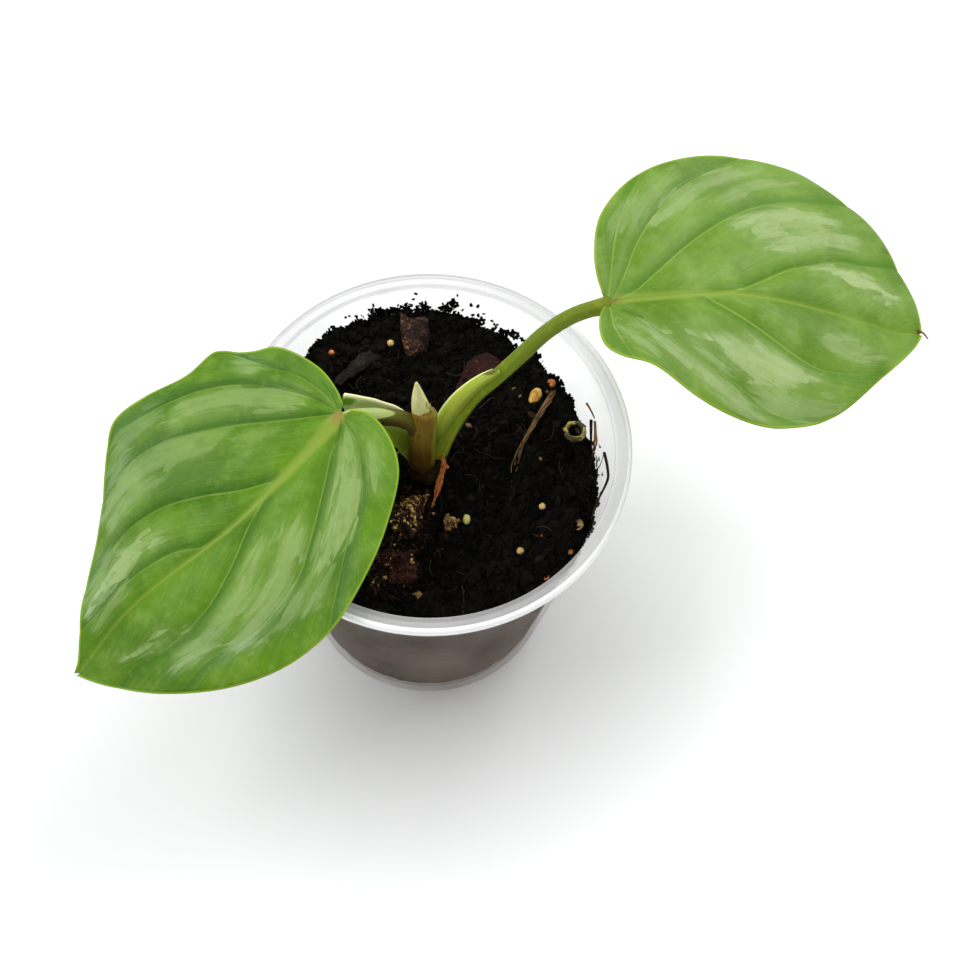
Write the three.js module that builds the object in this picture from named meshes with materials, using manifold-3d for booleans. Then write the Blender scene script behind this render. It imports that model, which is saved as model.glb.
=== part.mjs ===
// A young two-leaved philodendron mamei in a clear nursery pot.
// Millimetres, +Z up. The origin is the centre of the pot's underside, on the surface it stands on.
// Philodendron leaves here are satin green and waved; each petiole carries a sheath near its base.

import * as THREE from 'three';
import { mergeVertices } from 'three/addons/utils/BufferGeometryUtils.js';
import { ConvexGeometry } from 'three/addons/geometries/ConvexGeometry.js';
import Module from 'manifold-3d';

const wasm = await Module();
wasm.setup();

// Driving dimensions

const GAP = 0.3;                     // clearance between pieces that touch
const SEED = 5;

const RIM_RADIUS = 35;               // outer edge of the pot's lip
const POT_HEIGHT = 60;
const MOUTH_RADIUS = 32;             // inside of the pot at the lip
const BASE_RADIUS = 23.4;            // outside of the pot at the base
const POT_WALL = 0.9;
const POT_FLOOR = 1.0;
const LIP_THICKNESS = 1.2;
const SKIRT_DEPTH = 1.8;             // how far the turned-down lip hangs
const SKIRT_WALL = 0.9;
const POT_SIDES = 48;
const DRAIN_HOLES = 6;
const DRAIN_HOLE_RADIUS = 1.8;
const DRAIN_CIRCLE_RADIUS = 15;

const SOIL_LEVEL = 50;               // mean height of the soil's surface
const SOIL_BACK_RISE = 3.4;          // the soil climbs the wall at the back left
const SOIL_RISE_HEADING = 125;       // degrees round from +X
const SOIL_RIGHT_DROP = 6;           // and falls away from the wall on the right
const SOIL_DROP_HEADING = 8;
const SOIL_RINGS = 9;
const SOIL_LUMPS = [                 // waves that cross to make the lumps of the surface
  { height: 0.75, turn: 0.4, pace: 0.55 },
  { height: 0.5, turn: 1.3, pace: 1.1 },
  { height: 0.3, turn: 2.2, pace: 2 },
];

const STEM_RADIUS = 3.1;
const STEM_TOP = 52;
const STEM_BOTTOM = 38;
const STEM_CENTRE = [-0.7, 0.3];

const CHIP_CORNERS = 16;
const CHIP_ROUGHNESS = 0.25;           // how unevenly a chip's corners stand out

const LEAF_THICKNESS = 0.8;
const LEAF_ROWS = 32;                // rows from the sinus round the margin to the tip
const LEAF_STEPS = 10;               // steps from the midrib out to the margin
const LEAF_ARCH = 0.004;             // how fast a blade droops away from its midrib, per mm
const QUILT_HEIGHT = 0.55;           // the blade swells between sunken veins by this much
const VEIN_WIDTH = 0.045;            // half-width of a sunken vein, as a share of the margin
const MIDRIB_WIDTH = 5;              // half-width of the dip along the midrib
const VEIN_BOW = 0.16;               // how far vein lines bow outwards, as a share of their length
const LOBE_SHARE = 0.62;             // share of the margin whose veins start at the joint itself
const LAST_VEIN = 0.75;              // the last vein leaves the midrib this far along it
const VEIN_SPACING = 2.2;            // how the starts of the veins crowd towards the joint
const MARGIN_WAVE = 0.7;             // height of the margin's gentle waves
const MARGIN_WAVES = 17;             // their turning, in radians along the whole margin

const SHEATH_THICKNESS = 0.8;
const STALK_SIDES = 12;

const SOIL_COLOUR = 0x1d1712;
const POT_COLOUR = 0xe9ecee;
const LEAF_COLOUR = 0x5f9a3c;
const PETIOLE_COLOUR = 0x6f7d33;
const COLUMN_COLOUR = 0x6d6233;
const SHOOT_COLOUR = 0xd3dc93;
const STEM_COLOUR = 0x2f2316;
const HUSK_COLOUR = 0xb9622a;
const BARK_COLOUR = 0x5a4029;
const RED_BARK_COLOUR = 0x4b2f25;
const CHARCOAL_COLOUR = 0x26241f;
const FIBRE_COLOUR = 0x8f7a53;
const GRAIN_COLOUR = 0xd9b668;
const BEAD_COLOUR = 0xcf8a2e;

// Helpers

function seededRandom(seed) {
  let state = seed;
  return () => {
    state = (state * 1103515245 + 12345) % 2147483648;
    return state / 2147483648;
  };
}

function vector(point) {
  return new THREE.Vector3(...point);
}

function smoothstep(x) {
  const t = THREE.MathUtils.clamp(x, 0, 1);
  return t * t * (3 - 2 * t);
}

function splineThrough(points) {
  return new THREE.CatmullRomCurve3(points.map(vector), false, 'centripetal');
}

function flatSplineThrough(points) {
  return splineThrough(points.map(([x, y]) => [x, y, 0]));
}

// A closed surface given as vertices and triangles, with coinciding corners merged
function geometryFrom(vertices, triangles) {
  const geometry = new THREE.BufferGeometry();
  geometry.setAttribute('position', new THREE.Float32BufferAttribute(vertices.flat(), 3));
  geometry.setIndex(triangles.flat());
  return mergeVertices(geometry, 1e-4);
}

function toSolid(geometry) {
  const bare = geometry.clone();
  bare.deleteAttribute('normal');
  bare.deleteAttribute('uv');
  const merged = mergeVertices(bare, 1e-4);
  const corners = merged.index.array;
  const kept = [];
  for (let i = 0; i < corners.length; i += 3) {
    const [a, b, c] = corners.slice(i, i + 3);
    if (a !== b && b !== c && c !== a) kept.push(a, b, c);
  }
  return new wasm.Manifold(new wasm.Mesh({
    numProp: 3,
    vertProperties: new Float32Array(merged.attributes.position.array),
    triVerts: new Uint32Array(kept),
  }));
}

// The largest body of a cut solid: crumbs that a cut leaves behind are dropped
function largestBody(solid) {
  const bodies = solid.decompose();
  bodies.sort((a, b) => b.volume() - a.volume());
  return bodies[0];
}

function toGeometry(solid) {
  const mesh = largestBody(solid).getMesh();
  const geometry = new THREE.BufferGeometry();
  geometry.setAttribute('position', new THREE.BufferAttribute(mesh.vertProperties, 3));
  geometry.setIndex(new THREE.BufferAttribute(mesh.triVerts, 1));
  return geometry;
}

// A closed tube along a path. section(t) returns the outline, anticlockwise, in the plane
// across the path: [sideways, upwards] pairs, always the same number of them. The plane is
// carried along the path without twisting.
function sweep(points, steps, section) {
  const path = splineThrough(points);
  const vertices = [];
  const triangles = [];
  const count = section(0).length;
  const chord = path.getPointAt(1).sub(path.getPointAt(0));
  const sideways = new THREE.Vector3(chord.y, -chord.x, 0);
  for (let i = 0; i <= steps; i++) {
    const t = i / steps;
    const centre = path.getPointAt(t);
    const along = path.getTangentAt(t);
    sideways.addScaledVector(along, -sideways.dot(along)).normalize();
    const upwards = new THREE.Vector3().crossVectors(sideways, along);
    for (const [u, v] of section(t)) {
      vertices.push(centre.clone().addScaledVector(sideways, u).addScaledVector(upwards, v).toArray());
    }
  }
  for (let i = 0; i < steps; i++) {
    for (let j = 0; j < count; j++) {
      const a = i * count + j;
      const b = i * count + (j + 1) % count;
      triangles.push([a, a + count, b], [b, a + count, b + count]);
    }
  }
  const outline = section(0).map(([u, v]) => new THREE.Vector2(u, v));
  const last = steps * count;
  for (const [a, b, c] of THREE.ShapeUtils.triangulateShape(outline, [])) {
    triangles.push([a, b, c]);
    triangles.push([last + a, last + c, last + b]);
  }
  return toSolid(geometryFrom(vertices, triangles));
}

function ring(radiusAcross, radiusUp, sides) {
  return Array.from({ length: sides }, (_, i) => {
    const angle = (i / sides) * 2 * Math.PI;
    return [radiusAcross * Math.cos(angle), radiusUp * Math.sin(angle)];
  });
}

// A thin skin between two edge curves, bulging along `bulge` in the middle and round at its tip
function ribbon(edgeA, edgeB, bulge, thickness, steps = 14, across = 5) {
  const curveA = splineThrough(edgeA);
  const curveB = splineThrough(edgeB);
  const swell = vector(bulge);
  const middle = [];
  for (let i = 0; i <= steps; i++) {
    for (let j = 0; j <= across; j++) {
      const v = j / across;
      const point = curveA.getPointAt(i / steps).lerp(curveB.getPointAt(i / steps), v);
      middle.push(point.addScaledVector(swell, Math.sin(Math.PI * v)));
    }
  }
  return thicken(middle, steps, across, thickness);
}

// Gives a grid of points a thickness along its own normals, split alike on both faces
function thicken(middle, rows, columns, thickness) {
  const stride = columns + 1;
  const at = (i, j) => middle[i * stride + j];
  const normals = middle.map((_, k) => {
    const i = Math.floor(k / stride);
    const j = k % stride;
    const down = at(Math.min(i + 1, rows), j).clone().sub(at(Math.max(i - 1, 0), j));
    const over = at(i, Math.min(j + 1, columns)).clone().sub(at(i, Math.max(j - 1, 0)));
    return down.cross(over).normalize();
  });
  const half = thickness / 2;
  const front = middle.map((p, k) => p.clone().addScaledVector(normals[k], half).toArray());
  const back = middle.map((p, k) => p.clone().addScaledVector(normals[k], -half).toArray());
  const offset = middle.length;
  const triangles = [];
  for (let i = 0; i < rows; i++) {
    for (let j = 0; j < columns; j++) {
      const a = i * stride + j;
      const b = a + 1;
      const c = a + stride;
      const d = c + 1;
      triangles.push([a, c, b], [b, c, d]);
      triangles.push([offset + a, offset + b, offset + c], [offset + b, offset + d, offset + c]);
    }
  }
  const border = [];
  for (let j = 0; j <= columns; j++) border.push(j);
  for (let i = 1; i <= rows; i++) border.push(i * stride + columns);
  for (let j = columns - 1; j >= 0; j--) border.push(rows * stride + j);
  for (let i = rows - 1; i > 0; i--) border.push(i * stride);
  border.forEach((a, k) => {
    const b = border[(k + 1) % border.length];
    triangles.push([a, b, offset + a], [b, offset + b, offset + a]);
  });
  return toSolid(geometryFrom([...front, ...back], triangles));
}

function material(colour, roughness, extra = {}) {
  return new THREE.MeshStandardMaterial({ color: colour, roughness, metalness: 0, ...extra });
}

const plant = new THREE.Group();

function addPiece(name, solid, finish) {
  const mesh = new THREE.Mesh(toGeometry(solid), finish);
  mesh.name = name;
  plant.add(mesh);
}

// Pot: a thin tapered cup with a flat lip and a turned-down skirt

function innerRadius(z) {
  const taper = (MOUTH_RADIUS - (BASE_RADIUS - POT_WALL)) / (POT_HEIGHT - POT_FLOOR);
  return BASE_RADIUS - POT_WALL + taper * (z - POT_FLOOR);
}

function potSolid() {
  const lipUnderside = POT_HEIGHT - LIP_THICKNESS;
  const skirtEnd = POT_HEIGHT - SKIRT_DEPTH;
  const corner = 0.8;
  const profile = [
    [0, 0],
    [BASE_RADIUS - corner, 0],
    [BASE_RADIUS, corner],
    [innerRadius(lipUnderside) + POT_WALL, lipUnderside],
    [RIM_RADIUS - SKIRT_WALL, lipUnderside],
    [RIM_RADIUS - SKIRT_WALL, skirtEnd],
    [RIM_RADIUS, skirtEnd],
    [RIM_RADIUS, POT_HEIGHT - corner / 2],
    [RIM_RADIUS - corner / 2, POT_HEIGHT],
    [MOUTH_RADIUS + corner, POT_HEIGHT],
    [MOUTH_RADIUS, POT_HEIGHT - corner],
    [innerRadius(POT_FLOOR + corner), POT_FLOOR + corner],
    [innerRadius(POT_FLOOR) - corner, POT_FLOOR],
    [0, POT_FLOOR],
  ];
  const lathe = new THREE.LatheGeometry(profile.map((p) => new THREE.Vector2(...p)), POT_SIDES);
  lathe.rotateX(Math.PI / 2);
  let pot = toSolid(lathe);
  for (let i = 0; i < DRAIN_HOLES; i++) {
    const angle = (i + 0.5) / DRAIN_HOLES * 2 * Math.PI;
    const drill = new THREE.CylinderGeometry(DRAIN_HOLE_RADIUS, DRAIN_HOLE_RADIUS, 4 * POT_FLOOR, 12);
    drill.rotateX(Math.PI / 2);
    drill.translate(DRAIN_CIRCLE_RADIUS * Math.cos(angle), DRAIN_CIRCLE_RADIUS * Math.sin(angle), 0);
    pot = pot.subtract(toSolid(drill));
  }
  return pot;
}

// Leaves: each half of a blade is a fan of vein lines from the midrib out to the margin

// Both blades follow a midrib that leaves the joint at one pitch and droops to another
const LEFT_BLADE = {
  joint: [-14.9, -0.8, 70],
  length: 64,
  heading: [226, -4],                // degrees round from +X at the joint, and the turn to the tip
  pitch: [-6, -38],                  // degrees above level at the joint and at the tip
  halves: [
    {
      side: 1,
      fold: [0, 0],                  // degrees that this half is folded up, at the base and beyond
      outline: [
        [-1.6, 0.9], [-3.3, 3.5], [-3.3, 8], [-0.8, 13.7], [7, 19.5], [14.6, 23.5],
        [24, 26.2], [34, 25.5], [44, 21.5], [53, 14.5], [60, 6.5], [64, 0.3],
      ],
      veins: [0.20, 0.62, 0.80],     // where the main veins end along the margin
    },
    {
      side: -1,
      fold: [0, 0],
      outline: [
        [-1.6, 1.4], [-2.5, 4], [-3, 9], [-0.4, 17.2], [2.8, 19.6], [4.8, 21.6], [6.4, 24], [8, 25.3],
        [14.5, 25.4], [23, 27.6], [30, 28.2], [37, 22.5], [46.5, 13.5], [56, 6.3], [62, 1.2], [64, 0.3],
      ],
      veins: [0.22, 0.59, 0.70, 0.83, 0.90],
    },
  ],
};

const RIGHT_BLADE = {
  joint: [28.1, 14.9, 86],
  length: 57,
  heading: [8, -4],
  pitch: [2, -28],
  halves: [
    {
      side: 1,
      fold: [0, 0],
      outline: [
        [-0.9, 1.6], [-1.4, 4.6], [-1.4, 9.4], [0.5, 18], [7, 26.2], [17, 30.4], [28, 32],
        [37, 30.7], [41.5, 27.6], [46.7, 22.6], [52.2, 15], [56, 6.8], [57, 0.3],
      ],
      veins: [0.22, 0.47, 0.66, 0.80],
    },
    {
      side: -1,
      fold: [28, -4],
      outline: [
        [-0.9, 1.3], [-1.7, 3.6], [-2.4, 8.8], [-1.7, 13.6], [0.6, 16.2], [5, 17.2], [11.3, 20.7],
        [20.4, 22.1], [29, 21.7], [38.8, 18.2], [47.8, 10.4], [54.9, 3.4], [57, 0.3],
      ],
      veins: [0.52, 0.80],
    },
  ],
};

function bladeFrame(blade) {
  const samples = 120;
  const start = -0.2 * blade.length;
  const step = 1.3 * blade.length / samples;
  const direction = (s) => {
    const q = s / blade.length;
    const heading = THREE.MathUtils.degToRad(blade.heading[0] + blade.heading[1] * q);
    const pitch = THREE.MathUtils.degToRad(blade.pitch[0] + (blade.pitch[1] - blade.pitch[0]) * q);
    const along = new THREE.Vector3(
      Math.cos(heading) * Math.cos(pitch), Math.sin(heading) * Math.cos(pitch), Math.sin(pitch));
    const sideways = new THREE.Vector3(-Math.sin(heading), Math.cos(heading), 0);
    return { along, sideways, up: new THREE.Vector3().crossVectors(along, sideways) };
  };
  const centres = [new THREE.Vector3()];
  for (let i = 0; i < samples; i++) {
    const middle = direction(start + (i + 0.5) * step).along;
    centres.push(centres[i].clone().addScaledVector(middle, step));
  }
  const raw = (s) => {
    const k = (s - start) / step;
    const i = THREE.MathUtils.clamp(Math.floor(k), 0, samples - 1);
    return centres[i].clone().lerp(centres[i + 1], k - i);
  };
  const shift = vector(blade.joint).sub(raw(0));
  return (s) => ({ ...direction(s), centre: raw(s).add(shift) });
}

// Where a vein line leaves the midrib: lobes from the joint itself, the rest further along
function veinStart(blade, w) {
  const beyondLobe = Math.max(0, (w - LOBE_SHARE) / (1 - LOBE_SHARE));
  return LAST_VEIN * blade.length * beyondLobe ** VEIN_SPACING;
}

// The middle of a vein line bows outwards, least near the sinus and at the tip
function veinBow(w) {
  return VEIN_BOW * Math.sin(Math.PI * Math.min(1, w * 1.15)) * smoothstep((1 - w) * 5);
}

// The blade swells between the main veins and dips along them and along the midrib
function quilt(half, w, t, length) {
  let dip = Math.exp(-(((1 - w) * length / MIDRIB_WIDTH) ** 2));
  for (const vein of half.veins) {
    dip = Math.max(dip, Math.exp(-(((w - vein) / VEIN_WIDTH) ** 2)));
  }
  const fade = Math.sin(Math.PI * Math.min(t * 1.1, 1)) ** 0.7;
  return QUILT_HEIGHT * (0.5 - dip) * fade;
}

// A gentle wave that grows towards the margin
function marginWave(w, t, side) {
  return MARGIN_WAVE * Math.sin(w * MARGIN_WAVES + side) * t ** 4 * smoothstep((1 - w) * 6);
}

// Where half a blade lies: for each vein line, points from the midrib to the margin, each with
// the blade's upward direction there and the height of the surface along it
function halfBladeGrid(blade, half) {
  const frame = bladeFrame(blade);
  const margin = flatSplineThrough(half.outline);
  const grid = [];
  for (let i = 0; i <= LEAF_ROWS; i++) {
    const w = i / LEAF_ROWS;
    const start = veinStart(blade, w);
    const end = margin.getPointAt(w);
    for (let j = 0; j <= LEAF_STEPS; j++) {
      const t = j / LEAF_STEPS;
      const lift = 4 * t * (1 - t) * veinBow(w);
      const s = start + (end.x - start) * t - end.y * lift;
      const y = w === 1 ? 0 : end.y * t + (end.x - start) * lift;
      const { centre, sideways, up } = frame(s);
      const foldShare = smoothstep(2 * s / blade.length);
      const fold = THREE.MathUtils.degToRad(THREE.MathUtils.lerp(...half.fold, foldShare));
      const height = Math.sin(fold) * y - LEAF_ARCH * y * y
        + quilt(half, w, t, blade.length) * smoothstep(y / 4) + marginWave(w, t, half.side);
      const point = centre.addScaledVector(sideways, half.side * Math.cos(fold) * y);
      grid.push({ point, up, height });
    }
  }
  return grid;
}

function leafSolid(blade, thickness) {
  const stride = LEAF_STEPS + 1;
  const vertices = [];
  const triangles = [];
  for (const half of blade.halves) {
    const grid = halfBladeGrid(blade, half);
    const top = vertices.length;
    const bottom = top + grid.length;
    for (const offset of [thickness / 2, -thickness / 2]) {
      const first = vertices.length;
      const flip = (offset > 0) === (half.side > 0);
      for (const { point, up, height } of grid) {
        vertices.push(point.clone().addScaledVector(up, height + offset).toArray());
      }
      for (let i = 0; i < LEAF_ROWS; i++) {
        for (let j = 0; j < LEAF_STEPS; j++) {
          const a = first + i * stride + j;
          const b = a + 1;
          const c = a + stride;
          const d = c + 1;
          triangles.push(flip ? [a, c, b] : [a, b, c]);
          triangles.push(flip ? [b, c, d] : [b, d, c]);
        }
      }
    }
    const rim = [];
    for (let j = 0; j <= LEAF_STEPS; j++) rim.push(j);
    for (let i = 1; i <= LEAF_ROWS; i++) rim.push(i * stride + LEAF_STEPS);
    for (let k = 0; k + 1 < rim.length; k++) {
      const [a, b] = [rim[k], rim[k + 1]];
      const quad = [[top + a, bottom + a, top + b], [top + b, bottom + a, bottom + b]];
      for (const [p, q, r] of quad) triangles.push(half.side > 0 ? [p, r, q] : [p, q, r]);
    }
  }
  return toSolid(geometryFrom(vertices, triangles));
}

// The room that a petiole's end leaves for the blade it carries
function bladeRoom(blade) {
  const back = bladeFrame(blade)(0).along.multiplyScalar(-1.2 * GAP);
  return leafSolid(blade, LEAF_THICKNESS + 2.2 * GAP).translate(back.toArray());
}

// Stem, petioles and the new shoot. The left petiole rises as a column, then bends to its leaf.

const COLUMN_PATH = [
  [-1.3, -0.6, 51], [-1.5, -0.3, 56], [-1.6, 0.1, 61], [-2.8, 1.0, 64.4], [-5.2, 1.1, 66.2],
  [-8.2, 0.7, 67.2], [-11.4, 0, 68], [-15.6, -1.2, 68.8],
];
const COLUMN_RADIUS = [2.2, 1.5];    // at the base and under the leaf

// The top of the column's sheath, which the new shoot comes out of
const COLLAR_PATH = [[-1.6, 0, 58], [-1.5, 0.8, 62], [-1.2, 2.3, 66.2]];
const COLLAR_RADIUS = 2.15;

const RIGHT_PATH = [
  [0.9, 1.9, 50.5], [2.9, 4, 57.4], [6.7, 7.1, 64], [10.6, 8.8, 69], [14, 10, 74], [18.3, 11.8, 80],
  [22, 13.1, 83.3], [25.2, 14, 84.7], [29.3, 15, 85.2],
];
const RIGHT_RADIUS = [1.7, 1.35];

function stalkSection(radii, taperEnd, grow) {
  return (t) => {
    const radius = radii[0] + (radii[1] - radii[0]) * smoothstep(t / taperEnd) + grow;
    return ring(radius, radius * 0.96, STALK_SIDES);
  };
}

function leftPetioleSolid(grow) {
  const stalk = sweep(COLUMN_PATH, 18, stalkSection(COLUMN_RADIUS, 0.55, grow));
  const sheath = ribbon(
    [[-1, -2, 51], [-4.4, -0.4, 55], [-6.6, 0.1, 59.4], [-9.4, 0.6, 64], [-12.6, 0.3, 66.6]],
    [[0.4, 1.6, 51], [-1.6, 3.2, 57], [-3.6, 3.4, 63.4], [-8.6, 3.5, 67.6], [-14.6, 2.8, 70.6]],
    [-1.2, 0.6, -1.2], SHEATH_THICKNESS + 2 * grow);
  const collar = sweep(COLLAR_PATH, 6, () => ring(COLLAR_RADIUS + grow, COLLAR_RADIUS + grow, STALK_SIDES));
  return stalk.add(sheath).add(collar);
}

function rightPetioleSolid() {
  const stalk = sweep(RIGHT_PATH, 20, stalkSection(RIGHT_RADIUS, 0.35, 0));
  const sheath = ribbon(
    [[1.2, 1.9, 51], [3, 4, 57.8], [6.9, 7.1, 64.6], [10.2, 8.7, 68.6], [11.2, 9.2, 70.4]],
    [[-0.6, 3.2, 51], [0.5, 4.5, 60.4], [3.5, 6.7, 66.2], [7.3, 8.3, 70], [9.9, 8.8, 71.8]],
    [0.6, -0.6, 1.1], SHEATH_THICKNESS);
  return stalk.add(sheath);
}

// Everything that stands on the stem ends flat, a gap above it
function trimmedBelow(solid, z) {
  const block = new THREE.BoxGeometry(60, 60, 40);
  block.translate(0, 0, z - 20);
  return solid.subtract(toSolid(block));
}

function stemSolid(grow) {
  const profile = [
    [0, STEM_BOTTOM - grow],
    [STEM_RADIUS * 0.6 + grow, STEM_BOTTOM - grow],
    [STEM_RADIUS * 0.85 + grow, STEM_BOTTOM + 3],
    [STEM_RADIUS + grow, STEM_TOP - 5],
    [STEM_RADIUS + 0.3 + grow, STEM_TOP - 1.6],
    [STEM_RADIUS - 0.5 + grow, STEM_TOP + grow],
    [0, STEM_TOP + grow],
  ];
  const lathe = new THREE.LatheGeometry(profile.map((p) => new THREE.Vector2(...p)), 14);
  lathe.rotateX(Math.PI / 2);
  lathe.translate(...STEM_CENTRE, 0);
  return toSolid(lathe);
}

function shootSolid() {
  const path = [[-1, 0.8, 60], [-1.6, 2, 65.6], [-2.1, 2.8, 70.4], [-2.6, 3.3, 75]];
  return sweep(path, 8, (t) => {
    const radius = 0.25 + 1.45 * (1 - t ** 2.4);
    return ring(radius, radius * 0.8, 10);
  });
}

// A dry, papery remnant of an old bract, hanging from the stem on to the soil
const HUSK_PATH = [
  [2.5, 0.6, 53.2], [2.8, -0.6, 52.5], [2.4, -3, 51.9], [1.7, -5.7, 51.4], [1, -7.9, 51.2],
];

function huskSolid(grow) {
  return sweep(HUSK_PATH, 8, (t) => {
    const half = 0.35 + 0.55 * Math.sin(Math.PI * (0.15 + 0.8 * t)) + grow;
    const thick = 0.3 + grow;
    return [[-half, -thick], [half, -thick], [half, thick * 0.6], [0, thick * 1.5], [-half, thick * 0.6]];
  });
}

// Pieces lying in the soil

function chipCorners(chip, random) {
  const corners = [];
  for (let i = 0; i < CHIP_CORNERS; i++) {
    const direction = new THREE.Vector3(random() - 0.5, random() - 0.5, random() - 0.5).normalize();
    const biggest = Math.max(...direction.toArray().map(Math.abs));
    const reach = (1 - CHIP_ROUGHNESS * random()) * THREE.MathUtils.lerp(1, 1 / biggest, 0.55);
    const corner = direction.multiplyScalar(reach).multiply(vector(chip.half));
    corners.push(corner.applyAxisAngle(new THREE.Vector3(0, 0, 1), chip.turn).add(onSoil(chip.at)));
  }
  return corners;
}

function hull(corners, grow) {
  const grown = [];
  for (const corner of corners) {
    if (grow === 0) {
      grown.push(corner);
      continue;
    }
    for (const x of [-grow, grow]) {
      for (const y of [-grow, grow]) {
        for (const z of [-grow, grow]) grown.push(corner.clone().add(new THREE.Vector3(x, y, z)));
      }
    }
  }
  return toSolid(new ConvexGeometry(grown));
}

const chips = [
  { name: 'bark_front', at: [-3.8, -9, 0.9], half: [4.6, 5.8, 3.6], turn: -0.25, colour: BARK_COLOUR },
  { name: 'bark_front_low', at: [-5.2, -19.8, 0.4], half: [5, 4.4, 3], turn: 0.3, colour: BARK_COLOUR },
  { name: 'bark_back', at: [-4.4, 25, 1.2], half: [3, 5.2, 3.4], turn: 0.2, colour: RED_BARK_COLOUR },
  { name: 'bark_red', at: [7.6, 18.8, 0.2], half: [7.4, 4, 2], turn: 0.75, colour: RED_BARK_COLOUR },
  { name: 'bark_charcoal', at: [-14.6, 18.2, 0.3], half: [6, 2.6, 2], turn: 0.7, colour: CHARCOAL_COLOUR },
  { name: 'bark_small', at: [4.7, -9.9, 0.5], half: [1.6, 2.1, 1.8], turn: 0, colour: BARK_COLOUR },
];

const grains = [
  { name: 'pellet_bean', at: [17.8, 16, 0.6], half: [1.4, 1.7, 1.1], colour: GRAIN_COLOUR },
  { name: 'pellet_orange', at: [20.6, 19.6, 0.4], half: [1, 1, 0.9], colour: BEAD_COLOUR },
  { name: 'pellet_tan', at: [26.7, -8.3, 0.4], half: [1.1, 1.3, 0.9], colour: GRAIN_COLOUR },
  { name: 'grain_1', at: [7.2, -9.8, 0.3], half: [0.8, 1.1, 0.8], colour: GRAIN_COLOUR },
  { name: 'grain_2', at: [20.2, -5.9, 0.2], half: [0.7, 0.7, 0.7], colour: GRAIN_COLOUR },
  { name: 'grain_3', at: [16.9, -14.7, 0.2], half: [0.8, 0.7, 0.7], colour: GRAIN_COLOUR },
  { name: 'grain_4', at: [25.6, -13.1, 0.2], half: [0.8, 0.8, 0.7], colour: BEAD_COLOUR },
  { name: 'grain_5', at: [21.9, -18.9, 0.2], half: [0.8, 0.7, 0.7], colour: BEAD_COLOUR },
  { name: 'grain_6', at: [8.3, -27.1, 0.2], half: [0.8, 0.7, 0.7], colour: BEAD_COLOUR },
  { name: 'grain_7', at: [-8.8, 23.1, 0.2], half: [0.7, 0.7, 0.7], colour: GRAIN_COLOUR },
  { name: 'grain_8', at: [-19.2, 20.3, 0.2], half: [0.7, 0.6, 0.6], colour: BEAD_COLOUR },
];

// A place on the soil: x, y and the height of a piece's middle above the surface there
function onSoil([x, y, lift]) {
  return new THREE.Vector3(x, y, soilHeight(x, y) + lift);
}

function grainCorners(grain) {
  const corners = new THREE.IcosahedronGeometry(1, 0).attributes.position;
  return Array.from({ length: corners.count }, (_, i) => new THREE.Vector3()
    .fromBufferAttribute(corners, i)
    .multiply(vector(grain.half))
    .add(onSoil(grain.at)));
}

// A hollow seed shell, mouth up
const SHELL_CENTRE = onSoil([25.3, 9.2, 0.6]);
const SHELL_RADIUS = 2;
const SHELL_MOUTH_RADIUS = 1.1;

function shellSolid() {
  const profile = [
    [0, -SHELL_RADIUS * 0.8],
    [SHELL_RADIUS * 0.7, -SHELL_RADIUS * 0.6],
    [SHELL_RADIUS, 0],
    [SHELL_RADIUS * 0.9, SHELL_RADIUS * 0.35],
    [SHELL_MOUTH_RADIUS, SHELL_RADIUS * 0.6],
    [SHELL_MOUTH_RADIUS * 0.9, 0],
    [SHELL_MOUTH_RADIUS * 0.5, -SHELL_RADIUS * 0.35],
    [0, -SHELL_RADIUS * 0.4],
  ];
  const lathe = new THREE.LatheGeometry(profile.map((p) => new THREE.Vector2(...p)), 10);
  lathe.rotateX(Math.PI / 2);
  lathe.translate(...SHELL_CENTRE);
  return toSolid(lathe);
}

function shellRoom() {
  const ball = new THREE.IcosahedronGeometry(SHELL_RADIUS + 2 * GAP, 1);
  ball.translate(...SHELL_CENTRE);
  return toSolid(ball);
}

// A strip of fibre lying along the soil
const FIBRE_ROUTE = [
  [21, 17.2, 0.7], [20, 14.8, 0.9], [18.8, 12, 0.8], [17.2, 8.4, 0.8], [15.7, 4.7, 0.7], [14.8, 0.7, 0.5],
];

function fibreSolid(grow) {
  return sweep(FIBRE_ROUTE.map(onSoil), 10, (t) => {
    const half = 0.6 + 0.25 * Math.sin(9 * t) + grow;
    return ring(half, 0.45 + grow, 6);
  });
}

// Soil: a lumpy-topped plug that follows the pot's inside

function soilHeight(x, y) {
  const radius = Math.hypot(x, y);
  const angle = THREE.MathUtils.radToDeg(Math.atan2(y, x));
  const facing = (heading) => Math.max(0, Math.cos(THREE.MathUtils.degToRad(angle - heading)));
  const rise = SOIL_BACK_RISE * facing(SOIL_RISE_HEADING) ** 1.5 * smoothstep((radius - 14) / 16);
  const drop = SOIL_RIGHT_DROP * facing(SOIL_DROP_HEADING) ** 2 * smoothstep((radius - 26.5) / 4.5);
  let lumps = 0;
  for (const { height, turn, pace } of SOIL_LUMPS) {
    const along = x * Math.cos(turn) + y * Math.sin(turn);
    const across = y * Math.cos(turn) - x * Math.sin(turn);
    lumps += height * Math.sin(pace * along + turn) * Math.sin(0.9 * pace * across + 2 * turn);
  }
  const calm = smoothstep((radius - STEM_RADIUS) / 5);
  return SOIL_LEVEL + rise - drop + lumps * calm;
}

// A point of the soil's surface: ring i of the grid, at the pot's side k
function soilPoint(i, k) {
  const angle = (k / POT_SIDES) * 2 * Math.PI;
  const even = (i / SOIL_RINGS) * (innerRadius(SOIL_LEVEL) - GAP);
  const height = soilHeight(even * Math.cos(angle), even * Math.sin(angle));
  const radius = i === SOIL_RINGS ? innerRadius(height) - GAP : even;
  return [radius * Math.cos(angle), radius * Math.sin(angle), height];
}

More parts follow.
